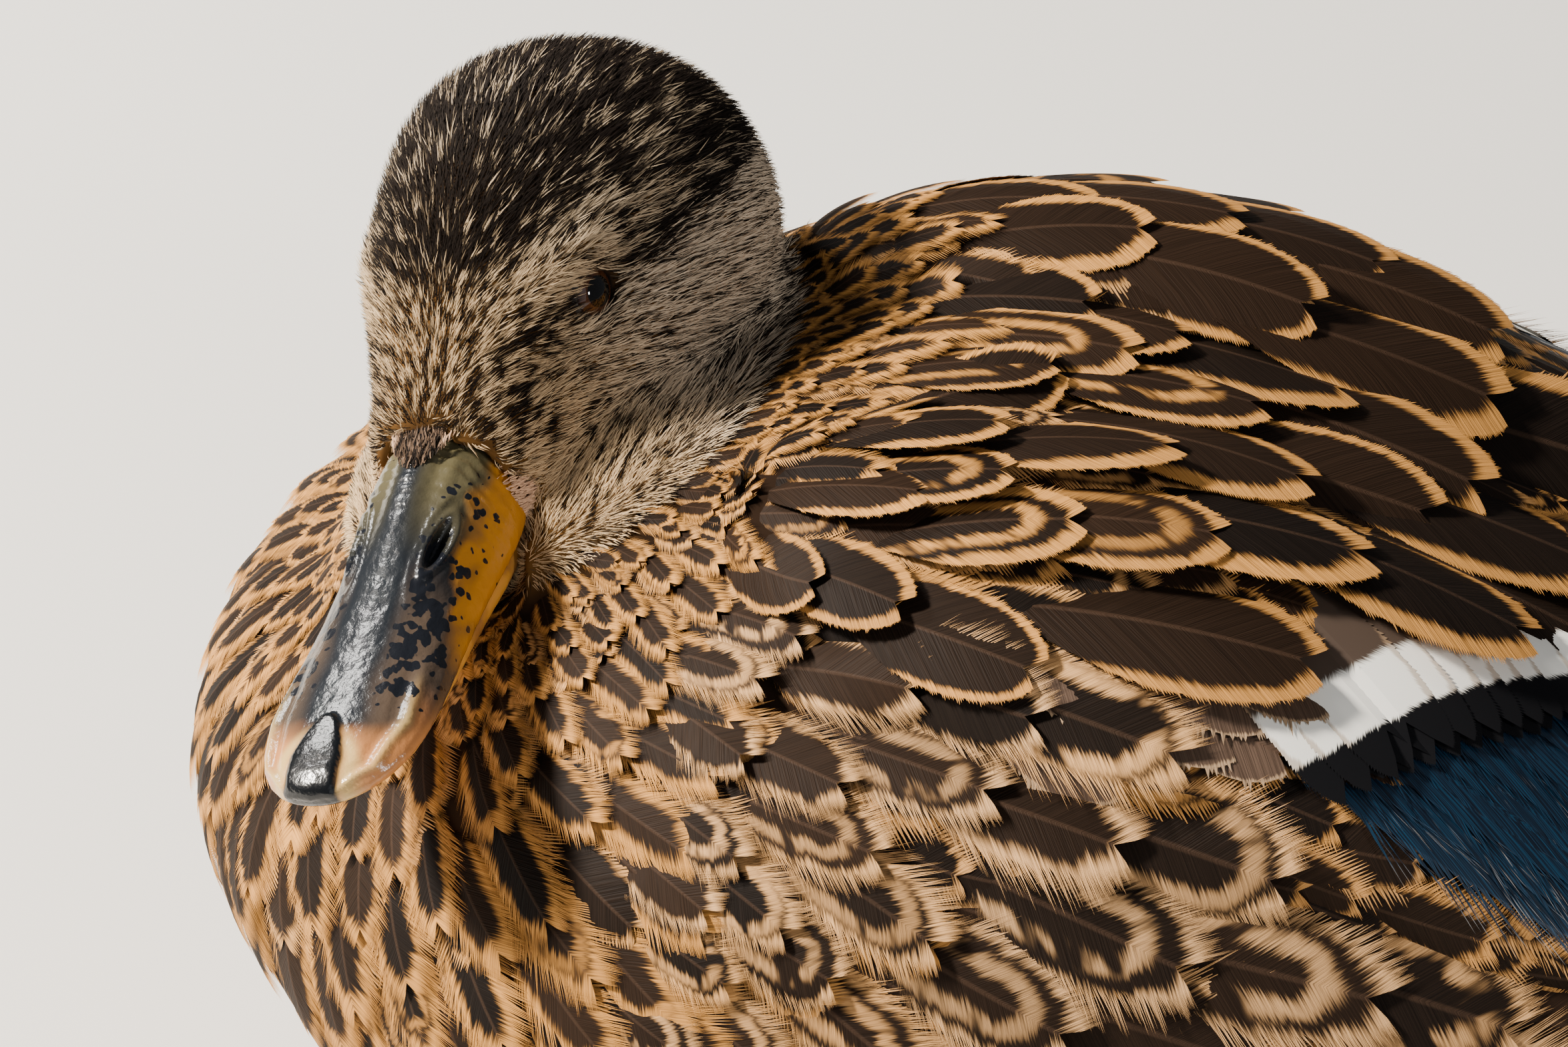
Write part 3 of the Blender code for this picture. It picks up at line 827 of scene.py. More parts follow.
for name, half in (("head_coat_left", left_half), ("head_coat_right", ~left_half)):
    strands(name, places[:, half], path_normals[:, half], lengths[half], wide_by[half], tint[half])

# %% [markdown]
# On the body a few bands of the skin get their own measure: the room for each feather, its proportions, how
# wide its pale rim is and whether a pale bar crosses its dark centre.

# %% Where each kind of body feather grows
def scapular_line(y):
    """The lower edge of the shoulder feathers, as an angle up the side."""
    angles = [54, 49, 44, 44, 47, 54, 61, 67, 68, 58]
    return np.interp(y, [-128, -110, -95, -75, -52, -33, -20, -8, 30, 60], angles)


def flank_line(y):
    """The upper edge of the flank feathers."""
    return np.interp(y, [-128, -115, -95, -70, -52, -38, -10, 30, 60], [53, 48, 44, 43, 40, 34, 27, 24, 20])


BODY_SAMPLES = 160000
spots = skin_samples(BODY_SAMPLES)
along, up_side = body_place(spots)
body = headness(spots) < 0.5
beyond = head_reach(spots)
front = (along < -126) | (beyond < 1.5)
room_under = np.minimum(7.2, np.interp(beyond, [1.05, 1.8], [2.8, 7.2]))
shoulder_room = [5.4, 8.0, 11.0, 14.5, 18.0, 20.0, 17.0]
room_scapular = np.interp(along, [-128, -112, -95, -75, -50, -20, 40], shoulder_room)
room_flank = np.interp(along, [-128, -100, -75, -40, 60], [6.2, 10.0, 13.5, 15.0, 13.5])
room_breast = np.interp(along, [-180, -126], [7.8, 8.0])
room_breast = np.minimum(room_breast, np.interp(beyond, [1.05, 1.9], [2.4, 8.0]))
room_belly = np.interp(along, [-120, 60], [5.0, 7.0])
scapular_edge = scapular_line(along + 1.9 * room_scapular) + 5 - 7 * (spots[:, 0] < 0)
flank_edge = flank_line(along + 1.4 * room_flank) + 5 * ramp(-along, 70, 100)
zones = {
    "under": body,
    "scapular": body & ~front & (up_side > scapular_edge) & (along < 78),
    "flank": body & ~front & (up_side < flank_edge) & (up_side > -22) & (along < 96),
    "breast": body & front & (up_side > -24),
    "belly": body & (up_side <= np.where(front, -24, -22)) & (along < 84),
    "rump": body & (along >= 60) & (up_side > 0),
    "vent": body & (along >= 84) & (up_side <= 0),
}
Habit = namedtuple("Habit", "room vane length width rim barred lift roll ragged")
habits = {
    # room in mm, vane, length and width over room, rim, share with a bar, lift in mm, roll, raggedness
    "under": Habit(room_under, vane(9, 0.42, 4, 0.42), 2.5, 0.92, 0.42, 0.20, 0.95, 0.00, 0.08),
    "scapular": Habit(room_scapular, vane(24, 0.06, 5, 0.30), 2.7, 0.76, 0.22, 0.32, 2.9, 0.20, 0.03),
    "flank": Habit(room_flank, vane(22, 0.38, 8, 0.44), 2.6, 0.84, 0.37, 0.80, 2.6, 0.08, 0.09),
    "breast": Habit(room_breast, vane(13, 0.46, 7, 0.45), 3.0, 0.84, 0.52, 0.16, 1.9, 0.00, 0.09),
    "belly": Habit(room_belly, vane(7, 0.40, 3, 0.42), 2.7, 0.74, 0.62, 0.10, 2.2, 0.00, 0.10),
    "rump": Habit(np.full(len(spots), 7.0), vane(12, 0.10, 3), 2.7, 0.76, 0.18, 0.30, 2.6, 0.10, 0.05),
    "vent": Habit(np.full(len(spots), 8.0), vane(12, 0.20, 3), 2.7, 0.74, 0.45, 0.30, 2.4, 0.00, 0.10),
}

# %% Body feathers
for kind, habit in habits.items():
    candidates = np.flatnonzero(zones[kind])
    kept = candidates[thin_out(spots[candidates], habit.room[candidates])]
    roots, normals = on_skin(spots[kept])
    gap, count = habit.room[kept], len(kept)
    length = gap * habit.length * rng.normal(1, 0.06, count)
    y_at, up_at = body_place(roots)
    rim = np.clip(habit.rim + rng.normal(0, 0.045, count), 0.06, 0.85)
    barred = rng.random(count) < habit.barred
    band = np.where(barred, rng.uniform(0.5, 1.0, count), 0.0)
    creamy = rng.uniform(0, 0.5, count) * (kind not in ("breast", "scapular"))
    creamy = creamy + 0.55 * (kind == "flank") + 0.5 * ramp(-up_at, 0, 40)
    ground = mixed(BUFF, CREAM, creamy) * rng.uniform(0.8, 1.0, (count, 1))
    mark = mixed(BLACK, BROWN, rng.uniform(0.0, 0.8, count))
    traits = dict(rim=rim, band=band, ground=ground, mark=mark)
    # feathers under the shoulder and wing lie flat, so that fewer of their tips pierce the ones above
    pressed = np.where((kind == "under") & (up_at > 26) & (y_at > -120), 0.35, 1.0)
    lift = habit.lift * np.minimum(1, gap / 4.3) * pressed
    places, path_normals = paths(roots, normals, length, 0.09, lift)
    for side_name, half in (("left", roots[:, 0] > 0), ("right", roots[:, 0] <= 0)):
        laid = (places[:, half], path_normals[:, half], length[half], (gap * habit.width)[half])
        marks = {trait: values[half] for trait, values in traits.items()}
        name = f"{kind}_coat_{side_name}"
        clothe(name, habit.vane, *laid, barred_finish, 0.16, habit.roll, habit.ragged, **marks)

# %% The skin's finish: dark as down and as painted shade where it shows between feathers
skin_finish, tree, shader = new_finish("skin_under_feathers", 0.9, Specular_IOR_Level=0.04)
colour_it(tree, shader, read(tree, "ground", "Color"))
dress(skin, skin_finish)
where = points_of(skin)
on_head = headness(where)
# The body's skin is very dark brown, partly like dark down and partly painted shade in the gaps between
# feathers, darker higher up the side.
under = mixed(BROWN * 1.4, BROWN * 0.6, ramp(body_place(where)[1], 10, 50))
face_tint = mixed(BUFF * 0.5, BLACK * 1.2, np.maximum(face_shade(where), 1.2 * near_eye))
under = under * (1 - on_head[:, None]) + face_tint * on_head[:, None]
paint(skin.data, "ground", under)

# %% [markdown]
# ## Wing and tail
#
# These feathers are few and large, and each is set out on purpose. Plain coverts lie below the shoulder,
# the greater coverts cross the wing with a white bar and a black one, and the blue secondaries come out
# behind them. The long inner feathers cover the folded flight feathers, whose tips draw together over the
# rump. The right wing's bar and blue lie lower and the bar is shorter, so that the ridge of the back hides
# them from the camera.

# %% Setting out a row
def on_body(y_at, up_at, side):
    """Places on the outside of the skin, from distance along the body and angle up its side."""
    found = []
    for y, up in np.broadcast(y_at, up_at):
        out = Vector((side * math.cos(math.radians(up)), 0, math.sin(math.radians(up))))
        centre = Vector((0, y, AXIS_Z)) * MM
        place, normal, _, _ = skin_tree.ray_cast(centre + out * 0.2, -out)
        found.append((place, normal))
    return np.array([f[0] for f in found]), np.array([f[1] for f in found])


def straight(roots, tips, sag, upward):
    """Paths that leave the body: from root to tip with a sag in mm, or an arch where it is negative."""
    normals = np.broadcast_to(unit(np.asarray(upward, float)), roots.shape)
    middle = (roots + tips) / 2 - normals * sag
    return np.stack([roots, middle, tips]) * MM, np.stack([normals] * 3)


# %% Finishes of the wing
bar_finish, tree, shader = new_finish("white_bar_feather", 0.65, Specular_IOR_Level=0.06)
values = vane_values(tree, 0.10)
down_vane = parts_of(tree, own_map(tree, "vane"))[1]
frayed = maths(tree, "MULTIPLY_ADD", values["Streak"], 0.05, down_vane)
white_part = step(tree, frayed, 0.53, 0.57)
white = blend_colours(tree, white_part, (0.060, 0.042, 0.032, 1), (0.82, 0.80, 0.74, 1))
dull_edge = maths(tree, "MULTIPLY", step(tree, values["Edge"], 0.88, 0.97), 0.6)
white = blend_colours(tree, dull_edge, white, (0.30, 0.20, 0.12, 1))
black_part = step(tree, frayed, 0.79, 0.81)
colour_it(tree, shader, blend_colours(tree, black_part, white, (0.005, 0.005, 0.006, 1)))

speculum_finish, tree, shader = new_finish("blue_secondary", 0.32, Specular_IOR_Level=0.6, Metallic=0.35)
values = vane_values(tree, 0.10)
down_vane = parts_of(tree, own_map(tree, "vane"))[1]
lit_barbs = step(tree, values["Streak"], 0.42, 0.68)
blue = blend_colours(tree, lit_barbs, (0.003, 0.006, 0.014, 1), (0.007, 0.042, 0.088, 1))
pale_edge = maths(tree, "MULTIPLY", step(tree, values["Edge"], 0.84, 0.98), 0.75)
blue = blend_colours(tree, pale_edge, blue, (0.40, 0.38, 0.36, 1))
blue = blend_colours(tree, step(tree, down_vane, 0.86, 0.88), blue, (0.012, 0.012, 0.014, 1))
white_tip = step(tree, down_vane, 0.955, 0.96)
colour_it(tree, shader, blend_colours(tree, white_tip, blue, (0.80, 0.78, 0.72, 1)))

# %% Coverts, bar and secondaries
GREY_BROWN = np.array([0.075, 0.048, 0.034])
PALE_RIM = np.array([0.30, 0.20, 0.12])
BAR_FEATHERS, BLUE_FEATHERS = 12, 13


def plain(rim, ground, mark, band=0.0):
    """The marks of feathers that all have one pattern."""
    return dict(rim=rim, band=band, ground=[ground], mark=[mark])


# side, its name, angle up the side where the bar starts, how much of its row it fills, where the blue starts
for side, side_name, bar_up, bar_share, blue_up in ((1, "left", 56, 1.0, 48), (-1, "right", 33, 0.72, 31)):
    between = body & (np.sign(spots[:, 0]) == side) & (along > -84) & (along < -66 + 1.3 * (up_side - 44))
    between = between & (up_side > flank_line(along) + 1) & (up_side < scapular_line(along) + 7)
    candidates = np.flatnonzero(between)
    candidates = candidates[thin_out(spots[candidates], np.full(len(candidates), 6.5))]
    roots, normals = on_skin(spots[candidates])
    laid = paths(roots, normals, 22.0, 0.06, 1.1, -side * 0.30)
    marks = plain(0.07, PALE_RIM, GREY_BROWN)
    small = vane(18, 0.05, 2)
    clothe(f"plain_coverts_{side_name}", small, *laid, 21.0, 6.6, barred_finish, roll=0.15, **marks)

    share = np.linspace(0.0, 0.90, BAR_FEATHERS) * bar_share
    roots, normals = on_body(-58 + 34 * share, bar_up + 21 * share, side)
    laid = paths(roots, normals, 34.0, 0.01, 1.9, -side * 0.72)
    square_tip = vane(26, 0.04, 2, 0.34, 3.4)
    clothe(f"white_bar_{side_name}", square_tip, *laid, 34.0, 6.4, bar_finish, 0.12, 0.12, 0.02)

    share = np.linspace(-0.1, 0.9, BLUE_FEATHERS)
    roots, normals = on_body(-46 + 34 * share, blue_up + 19 * share, side)
    laid = paths(roots, normals, 62.0, 0.03, 1.9, -side * 0.30)
    loose = vane(30, 0.35, 3, 0.5)
    clothe(f"speculum_{side_name}", loose, *laid, 62.0, 7.0, speculum_finish, 0.12, 0.12, 0.2)

# %% Long inner feathers, flight feathers and tail
INNER_FEATHERS, FLIGHT_FEATHERS, TAIL_FEATHERS = 5, 8, 18
for side, side_name in ((1, "left"), (-1, "right")):
    share = np.linspace(0, 1, INNER_FEATHERS)
    roots, normals = on_body(-12 + 14 * share, 58 + 12 * share, side)
    size = 96 - 22 * share
    laid = paths(roots, normals, size, 0.02, 1.4 + share, -side * 0.02)
    marks = plain(0.08, PALE_RIM, GREY_BROWN * 0.85)
    even_edge = vane(36, 0.04, 2, 0.26)
    clothe(f"tertials_{side_name}", even_edge, *laid, size, 11.0, barred_finish, 0.14, 0.14, **marks)

    order = np.arange(FLIGHT_FEATHERS)
    roots = np.stack([side * (47.0 - 1.2 * order), 2.0 + 0 * order, 104.0 + 0.5 * order], axis=1)
    tips = np.stack([side * (6.0 + 2.6 * order), 147.5 - 11.5 * order, 92.6 + 1.3 * order], axis=1)
    size = np.linalg.norm(tips - roots, axis=1)
    laid = straight(roots, tips, -2.5, (side * 0.45, 0, 1))
    marks = plain(0.06, PALE_RIM * 0.8, GREY_BROWN * 0.7)
    pointed = vane(44, 0.03, 2, 0.2, 1.7)
    name = f"flight_feathers_{side_name}"
    flight = clothe(name, pointed, *laid, size, 8.0, barred_finish, 0.16, 0.1, **marks)
    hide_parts(f"primaries_{side_name}")

order = np.linspace(-1, 1, TAIL_FEATHERS)
level = 3.2 * (1 - np.abs(order))
roots = np.stack([order * 13, 92 + 0 * order, 80.0 + level * 0.6], axis=1)
tips = np.stack([order * 30, 189.5 - 17 * order**2, 84.5 + level], axis=1)
laid = straight(roots, tips, -1.6, (0, 0, 1))
size = np.linalg.norm(tips - roots, axis=1)
marks = plain(0.16, CREAM, GREY_BROWN * 0.8, 0.5)
tail = clothe("tail_feathers", vane(44, 0.04, 2, 0.22, 1.9), *laid, size, 9.0, barred_finish, 0.14, **marks)
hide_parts("tail")

# %% [markdown]
# ## Bill, eyes and feet
#
# The bill is one horn-covered form with a slit nostril, a ridge down the middle, a raised rim round the
# broad end and a hard nail at its tip. The solid gives the form, so it is remeshed finely rather than
# modelled again, and displacement in the head's own frame adds the details.

# %% Bill
bill = joined_copy("bill", ("bill_upper",))
remade(bill, voxel=0.42, rounds=10)
BILL_BASE, BILL_TIP = 24.0, 79.0  # mm ahead of the head's middle
NOSTRIL_AT, NAIL_FROM = 39.5, 67.0  # mm too


def bill_place(points):
    """Share along the bill from base to tip, share from ridge to edge, and the head's own mm."""
    h = in_head(points)
    forward = -h[:, 1]
    half = np.interp(forward, [18, 25, 33, 44, 55, 66, 73.5, 79], [8.2, 10.4, 10, 10, 11.2, 12, 9.6, 3])
    return (forward - BILL_BASE) / (BILL_TIP - BILL_BASE), np.abs(h[:, 0]) / half, h


def ridge(value, at, spread):
    """A soft ridge, 1 where the value is right at its place."""
    return np.exp(-((value - at) ** 2) / spread)


where = points_of(bill)
share, aside, h = bill_place(where)
upper = ramp(normals_of(bill) @ head_axes[:, 2], 0.0, 0.4)
slit = np.abs(h[:, 0]) - 6.0 - 0.12 * (h[:, 1] + NOSTRIL_AT)
nostril = np.sqrt(((h[:, 1] + NOSTRIL_AT) / 2.9) ** 2 + (slit / 0.62) ** 2)
nostril_hole = np.exp(-(nostril**3))
relief = -1.6 * nostril_hole
relief += 0.50 * ridge(nostril, 1.75, 0.16)
relief += 0.28 * ridge(nostril, 3.0, 0.20) * ramp(-slit, -4, 1)
relief -= 0.5 * bump_at(h * (1, 1, 0), (0, -30, 0), (30, 10, 1)) * ridge(np.abs(h[:, 0]), 3.4, 1.2**2)
relief += 0.10 * np.sin(h[:, 1] * 3.4 + 1.6 * mottle(where, 8, 21)) * ramp(share, 0.30, 0.10)
broad_end = ramp(share, 0.50, 0.75)
relief += 0.50 * ridge(aside, 0.80, 0.003) * broad_end * (1 - ramp(share, 0.95, 1.0))
relief -= 0.40 * ridge(aside, 0.68, 0.005) * broad_end * (1 - ramp(share, 0.88, 0.95))
nail_half = 4.1 * np.sqrt(np.clip((-h[:, 1] - NAIL_FROM) / 6.5, 0.0001, 1))
nail_reach = np.where(h[:, 1] < -NAIL_FROM, np.abs(h[:, 0]) / nail_half, 2.0)
relief += 0.55 * (1 - ramp(nail_reach, 0.7, 1.0))
relief *= upper
set_points(bill, where + normals_of(bill) * (relief * MM)[:, None])
bill.data.shade_smooth()

# %% Colours of the bill
SLATE = np.array([0.008, 0.010, 0.013])
OLIVE = np.array([0.080, 0.068, 0.034])
HORN = np.array([0.060, 0.042, 0.030])
ORANGE = np.array([0.44, 0.18, 0.016])
PINK = np.array([0.42, 0.17, 0.055])
STRAW = np.array([0.52, 0.37, 0.14])
in_middle = ramp(share, 0.3, 0.5)
tint = mixed(SLATE, HORN, ramp(aside + 0.05 * mottle(where, 10, 4), 0.25, 0.60) * in_middle)
tint = mixed(tint, OLIVE, ramp(share, 0.36, 0.05) * ramp(aside, 0.05, 0.35))
orange_side = ramp(aside + 0.06 * mottle(where, 6, 9) - 0.45 * (share - 0.1), 0.70, 0.86)
tint = mixed(tint, ORANGE, orange_side * (1 - ramp(share, 0.45, 0.60)))
edge_band = ramp(aside + 0.04 * mottle(where, 9, 4), 0.78, 0.90) * ramp(share, 0.62, 0.82)
tip_band = ramp(share + 0.08 * aside**2 + 0.01 * mottle(where, 5, 11), 0.80, 0.91)
tint = mixed(tint, PINK, np.maximum(edge_band, tip_band))
tint = mixed(tint, STRAW, ridge(nail_reach, 1.2, 0.10) * ramp(share, 0.80, 0.88) * 0.8)
tint = mixed(tint, STRAW, ridge(aside, 0.80, 0.002) * ramp(share, 0.60, 0.80) * 0.6)
tint = mixed(tint, SLATE * 0.35, 1 - ramp(nail_reach, 0.86, 1.0))
# the nostril's pit is painted nearly black: painted shade in the hole
tint = mixed(tint, SLATE * 0.15, nostril_hole * upper)
paint(bill.data, "ground", tint)
speckle = (0.42 + 0.58 * ramp(share, 0.10, 0.48)) * ramp(share, 0.0, 0.10) * (1 - ramp(share, 0.66, 0.80))
speckle = speckle * ramp(aside, 0.30, 0.50) * (1 - 0.6 * ramp(aside, 0.88, 0.97))
speckle_layer = bill.data.attributes.new("speckle", "FLOAT", "POINT")
speckle_layer.data.foreach_set("value", speckle.astype(np.float32))

bill_finish, tree, shader = new_finish("bill_horn", 0.22, Specular_IOR_Level=0.42)
place = own_place(tree)
wander = noise(tree, place, 700.0, 1.0, "Color")
dot_at = vector_maths(tree, "MULTIPLY_ADD", i0=wander, i1=(0.0011,) * 3, i2=place)
from_dot = wire(tree, "ShaderNodeTexVoronoi", Vector=dot_at, Scale=620.0).outputs["Distance"]
dot_size = maths(tree, "MULTIPLY_ADD", noise(tree, place, 330.0, 2.0), 2.4, -0.62)
dot_reach = maths(tree, "MULTIPLY", read(tree, "speckle"), dot_size)
dot = step(tree, maths(tree, "SUBTRACT", dot_reach, from_dot), -0.03, 0.03)
colour_it(tree, shader, blend_colours(tree, dot, read(tree, "ground", "Color"), (0.006, 0.007, 0.010, 1)))
roughen(tree, shader, noise(tree, place, 520.0, 4.0), 0.55, 0.0004)
dress(bill, bill_finish)
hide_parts("bill_upper")
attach(bill, "root")

# %% Lower bill
jaw = joined_copy("lower_bill", ("bill_lower",))
remade(jaw, voxel=0.6, rounds=8)
jaw.data.shade_smooth()
jaw_finish, tree, shader = new_finish("lower_bill_horn", 0.35)
stain = step(tree, noise(tree, own_place(tree), 160.0, 3.0), 0.45, 0.65)
colour_it(tree, shader, blend_colours(tree, stain, (0.60, 0.27, 0.04, 1), (0.28, 0.12, 0.03, 1)))
dress(jaw, jaw_finish)
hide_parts("bill_lower")
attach(jaw, "root")

# %% [markdown]
# Eyes, lids, toes, claws and webs have no form in the solids that could be refined, so they are modelled
# from primitives. Each is made once, lying at the origin, and its copies are then set in place with their
# own mesh.

# %% Tools for new forms
def begin(add, **settings):
    """Adds a primitive with nothing else selected and opens it in edit mode, selected all over."""
    bpy.ops.object.select_all(action="DESELECT")
    add(**settings)
    bpy.ops.object.mode_set(mode="EDIT")
    bpy.ops.mesh.select_all(action="SELECT")
    return bpy.context.object


def choose(piece, test, kind="VERT"):
    """Selects, in edit mode, the points or faces of a piece that pass a test of their place or normal."""
    bpy.ops.mesh.select_mode(type=kind)
    form = bmesh.from_edit_mesh(piece.data)
    for part in form.verts:
        part.select_set(False)
    for part in form.verts if kind == "VERT" else form.faces:
        part.select_set(bool(test(part)))
    form.select_flush_mode()
    bmesh.update_edit_mesh(piece.data)


def stretch(share, centre=(0, 0, 0)):
    """Scales what is selected about a centre in mm."""
    bpy.ops.transform.resize(value=share, center_override=[c * MM for c in centre])


def shift(x, y, z):
    """Moves what is selected by so many mm."""
    bpy.ops.transform.translate(value=(x * MM, y * MM, z * MM))


def quarter_turn(axis):
    """Lays down what stands upright."""
    bpy.ops.transform.rotate(value=math.pi / 2, orient_axis=axis, center_override=(0, 0, 0))


def finish_form(piece, *modifiers):
    """Leaves edit mode, adds modifiers with their settings, applies them and shades the piece smooth."""
    bpy.ops.object.mode_set(mode="OBJECT")
    for kind, settings in modifiers:
        modifier = piece.modifiers.new(kind.lower(), kind)
        for key, value in settings.items():
            setattr(modifier, key, value)
    apply_modifiers(piece)
    bpy.ops.object.shade_smooth()


def copy_of(piece, name, pose):
    """A copy with its own mesh and its place set in the mesh, the faces outward when it is mirrored."""
    twin = bpy.data.objects.new(name, piece.data.copy())
    bpy.context.scene.collection.objects.link(twin)
    twin.data.transform(pose)
    if pose.determinant() < 0:
        twin.data.flip_normals()
    return twin


def joined(name, pieces):
    """Several objects joined into the first."""
    bpy.ops.object.select_all(action="DESELECT")
    for piece in pieces:
        piece.select_set(True)
    bpy.context.view_layer.objects.active = pieces[0]
    bpy.ops.object.join()
    pieces[0].name = pieces[0].data.name = name
    return pieces[0]


# %% [markdown]
# A duck's eye is a dark brown iris round a large pupil, with a wet, slightly bulging front and thin bare
# lids that lie on the ball. The ball is a sphere whose front is pulled out a little in rings. The lids start
# as a circle of edges, extruded outward ring by ring and then wrapped onto the ball, so they follow it
# without a gap.

# %% Finishes of eye and lids
eye_finish, tree, shader = new_finish(
    "eye", 0.04, Specular_IOR_Level=0.35, Coat_Weight=0.25, Coat_Roughness=0.02
)
iris_at = own_map(tree, "gaze")
from_pupil = vector_maths(tree, "LENGTH", "Value", i0=iris_at)
fibres = noise(tree, vector_maths(tree, "NORMALIZE", i0=iris_at), 9.0, 2.0)
iris = blend_colours(tree, fibres, (0.020, 0.007, 0.003, 1), (0.085, 0.030, 0.011, 1))
iris = blend_colours(tree, step(tree, from_pupil, 0.56, 0.60), (0.002, 0.002, 0.002, 1), iris)
iris = blend_colours(tree, step(tree, from_pupil, 0.86, 0.95), iris, (0.006, 0.004, 0.003, 1))
colour_it(tree, shader, iris)
lid_finish, tree, shader = new_finish("eyelid", 0.55)
pores = noise(tree, own_place(tree), 2500.0, 2.0)
colour_it(tree, shader, blend_colours(tree, pores, (0.010, 0.008, 0.007, 1), (0.075, 0.055, 0.042, 1)))
roughen(tree, shader, pores, 0.5, 0.0002)

# %% Eyeball
EYE_RADIUS = 5.9  # mm
IRIS_RADIUS = 3.6
OFF_THE_IRIS = 2  # a place on the gaze map beyond the iris, for the back of the ball
ball = begin(bpy.ops.mesh.primitive_uv_sphere_add, segments=56, ring_count=36, radius=EYE_RADIUS * MM)
quarter_turn("Y")
for reach in (4.9, 5.1, 5.3, 5.5, 5.7):
    choose(ball, lambda v: v.co.x > reach * MM)
    shift(0.05, 0, 0)
finish_form(ball)
ball.data.materials.append(eye_finish)
local = points_of(ball) / MM / IRIS_RADIUS
local[local[:, 0] < 0] = OFF_THE_IRIS
index = np.empty(len(ball.data.loops), np.int32)
ball.data.loops.foreach_get("vertex_index", index)
gaze = ball.data.uv_layers.new(name="gaze")
gaze.data.foreach_set("uv", local[index][:, 1:].astype(np.float32).ravel())

# %% Eyelids
lids = begin(bpy.ops.mesh.primitive_circle_add, vertices=56, radius=3.1 * MM, fill_type="NOTHING")
quarter_turn("Y")
stretch((1, 1.10, 0.96))
shift(9, 0, 0)
for grow in (1.05, 1.07, 1.07, 1.08, 1.08):
    bpy.ops.mesh.extrude_edges_move()
    stretch((1, grow, grow))
bpy.ops.mesh.select_all(action="SELECT")
bpy.ops.mesh.normals_make_consistent(inside=False)
onto_ball = dict(target=ball, wrap_method="PROJECT", offset=0.08 * MM)
onto_ball.update(use_project_x=True, use_project_y=False, use_project_z=False)
onto_ball.update(use_negative_direction=True, use_positive_direction=False)
rounder = ("SUBSURF", dict(levels=1, render_levels=1))
finish_form(lids, ("SHRINKWRAP", onto_ball), ("SOLIDIFY", dict(thickness=0.40 * MM, offset=0)), rounder)
lids.data.materials.append(lid_finish)

# %% Eyes in their sockets
OUT_OF_CHEEK = 1.95  # mm by which the front of the ball stands out of the skin
SIGHT = Matrix.Rotation(math.radians(-12), 4, "Z") @ Matrix.Rotation(math.radians(-8), 4, "Y")
for side, side_name in ((1, "left"), (-1, "right")):
    sight = Vector(head_axes[:, 0] * side)
    cheek = skin_tree.ray_cast(head_middle + sight * 0.03, -sight)[0]
    deep = side * in_head([cheek])[0][0] - EYE_RADIUS + OUT_OF_CHEEK
    seat = Matrix.Translation(Vector((deep, 1.0, -0.7)) * MM)
    pose = head_pose @ Matrix.Diagonal((side, 1, 1, 1)) @ seat @ SIGHT
    for form, label in ((ball, "eyeball"), (lids, "eyelids")):
        piece = copy_of(form, f"{label}_{side_name}", pose)
        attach(piece, "root")
        if label == "eyeball":
            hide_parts(f"eye_{side_name}")
for form in (lids, ball):
    bpy.data.objects.remove(form)
print("eyeballs", 2 * EYE_RADIUS, "mm across")

# %% [markdown]
# A duck rests with its feet folded under it and only the webs and toes show at the sides. A toe is a
# cylinder laid down and extruded joint by joint, thicker at each joint, and a claw is drawn to a point in
# the same way. A web is a plane cut into strips that widen into a fan, with its free edge drawn in. Toes,
# webs and the short shank are joined and remeshed, so that skin runs from one to the next without a seam.

# %% Finishes of the feet
foot_finish, tree, shader = new_finish("webbed_foot", 0.5)
scales = wire(tree, "ShaderNodeTexVoronoi", Vector=own_place(tree), Scale=700.0).outputs["Distance"]
between_scales = step(tree, scales, 0.0, 0.7)
colour_it(tree, shader, blend_colours(tree, between_scales, (0.62, 0.22, 0.03, 1), (0.45, 0.14, 0.02, 1)))
roughen(tree, shader, scales, 0.5, 0.0003)
claw_finish, tree, shader = new_finish("claw", 0.35)
layers = noise(tree, own_place(tree), 1200.0, 2.0)
colour_it(tree, shader, blend_colours(tree, layers, (0.012, 0.010, 0.008, 1), (0.055, 0.042, 0.032, 1)))

# %% Toe, claw and web, each modelled once
HEEL = (44.0, -23.6)  # mm
FAN, FOOT_TURN = 26.0, 14.0  # degrees between toes, and of the whole foot


def grow_end(piece, forward, drop, share):
    """Extrudes the front end of a toe or claw and tapers it."""
    choose(piece, lambda f: f.normal.y < -0.8, "FACE")
    bpy.ops.mesh.extrude_region_move()
    shift(0, -forward, -drop)
    middle = [v.co for v in bmesh.from_edit_mesh(piece.data).verts if v.select]
    centre = sum(middle, Vector()) / len(middle) / MM
    stretch((share, 1, share), centre)


toe = begin(bpy.ops.mesh.primitive_cylinder_add, vertices=14, radius=1.9 * MM, depth=2 * MM)
quarter_turn("X")
shift(0, 0, 1.95)
for joint_gap, slim in ((18, 0.86), (17, 0.84), (15, 0.82)):
    grow_end(toe, joint_gap * 0.42, 0.1, 0.88)
    grow_end(toe, joint_gap * 0.42, 0.1, 1.10)
    grow_end(toe, joint_gap * 0.16, 0.05, slim + 0.06)
grow_end(toe, 1.8, 0.15, 0.6)
finish_form(toe)
toe_reach = -points_of(toe)[:, 1].min() / MM

claw = begin(bpy.ops.mesh.primitive_cylinder_add, vertices=10, radius=0.9 * MM, depth=2 * MM)
quarter_turn("X")
shift(0, 1 - toe_reach, 1.35)
for forward, drop, share in ((1.6, 0.1, 0.85), (1.6, 0.3, 0.7), (1.4, 0.4, 0.4)):
    grow_end(claw, forward, drop, share)
finish_form(claw, rounder)

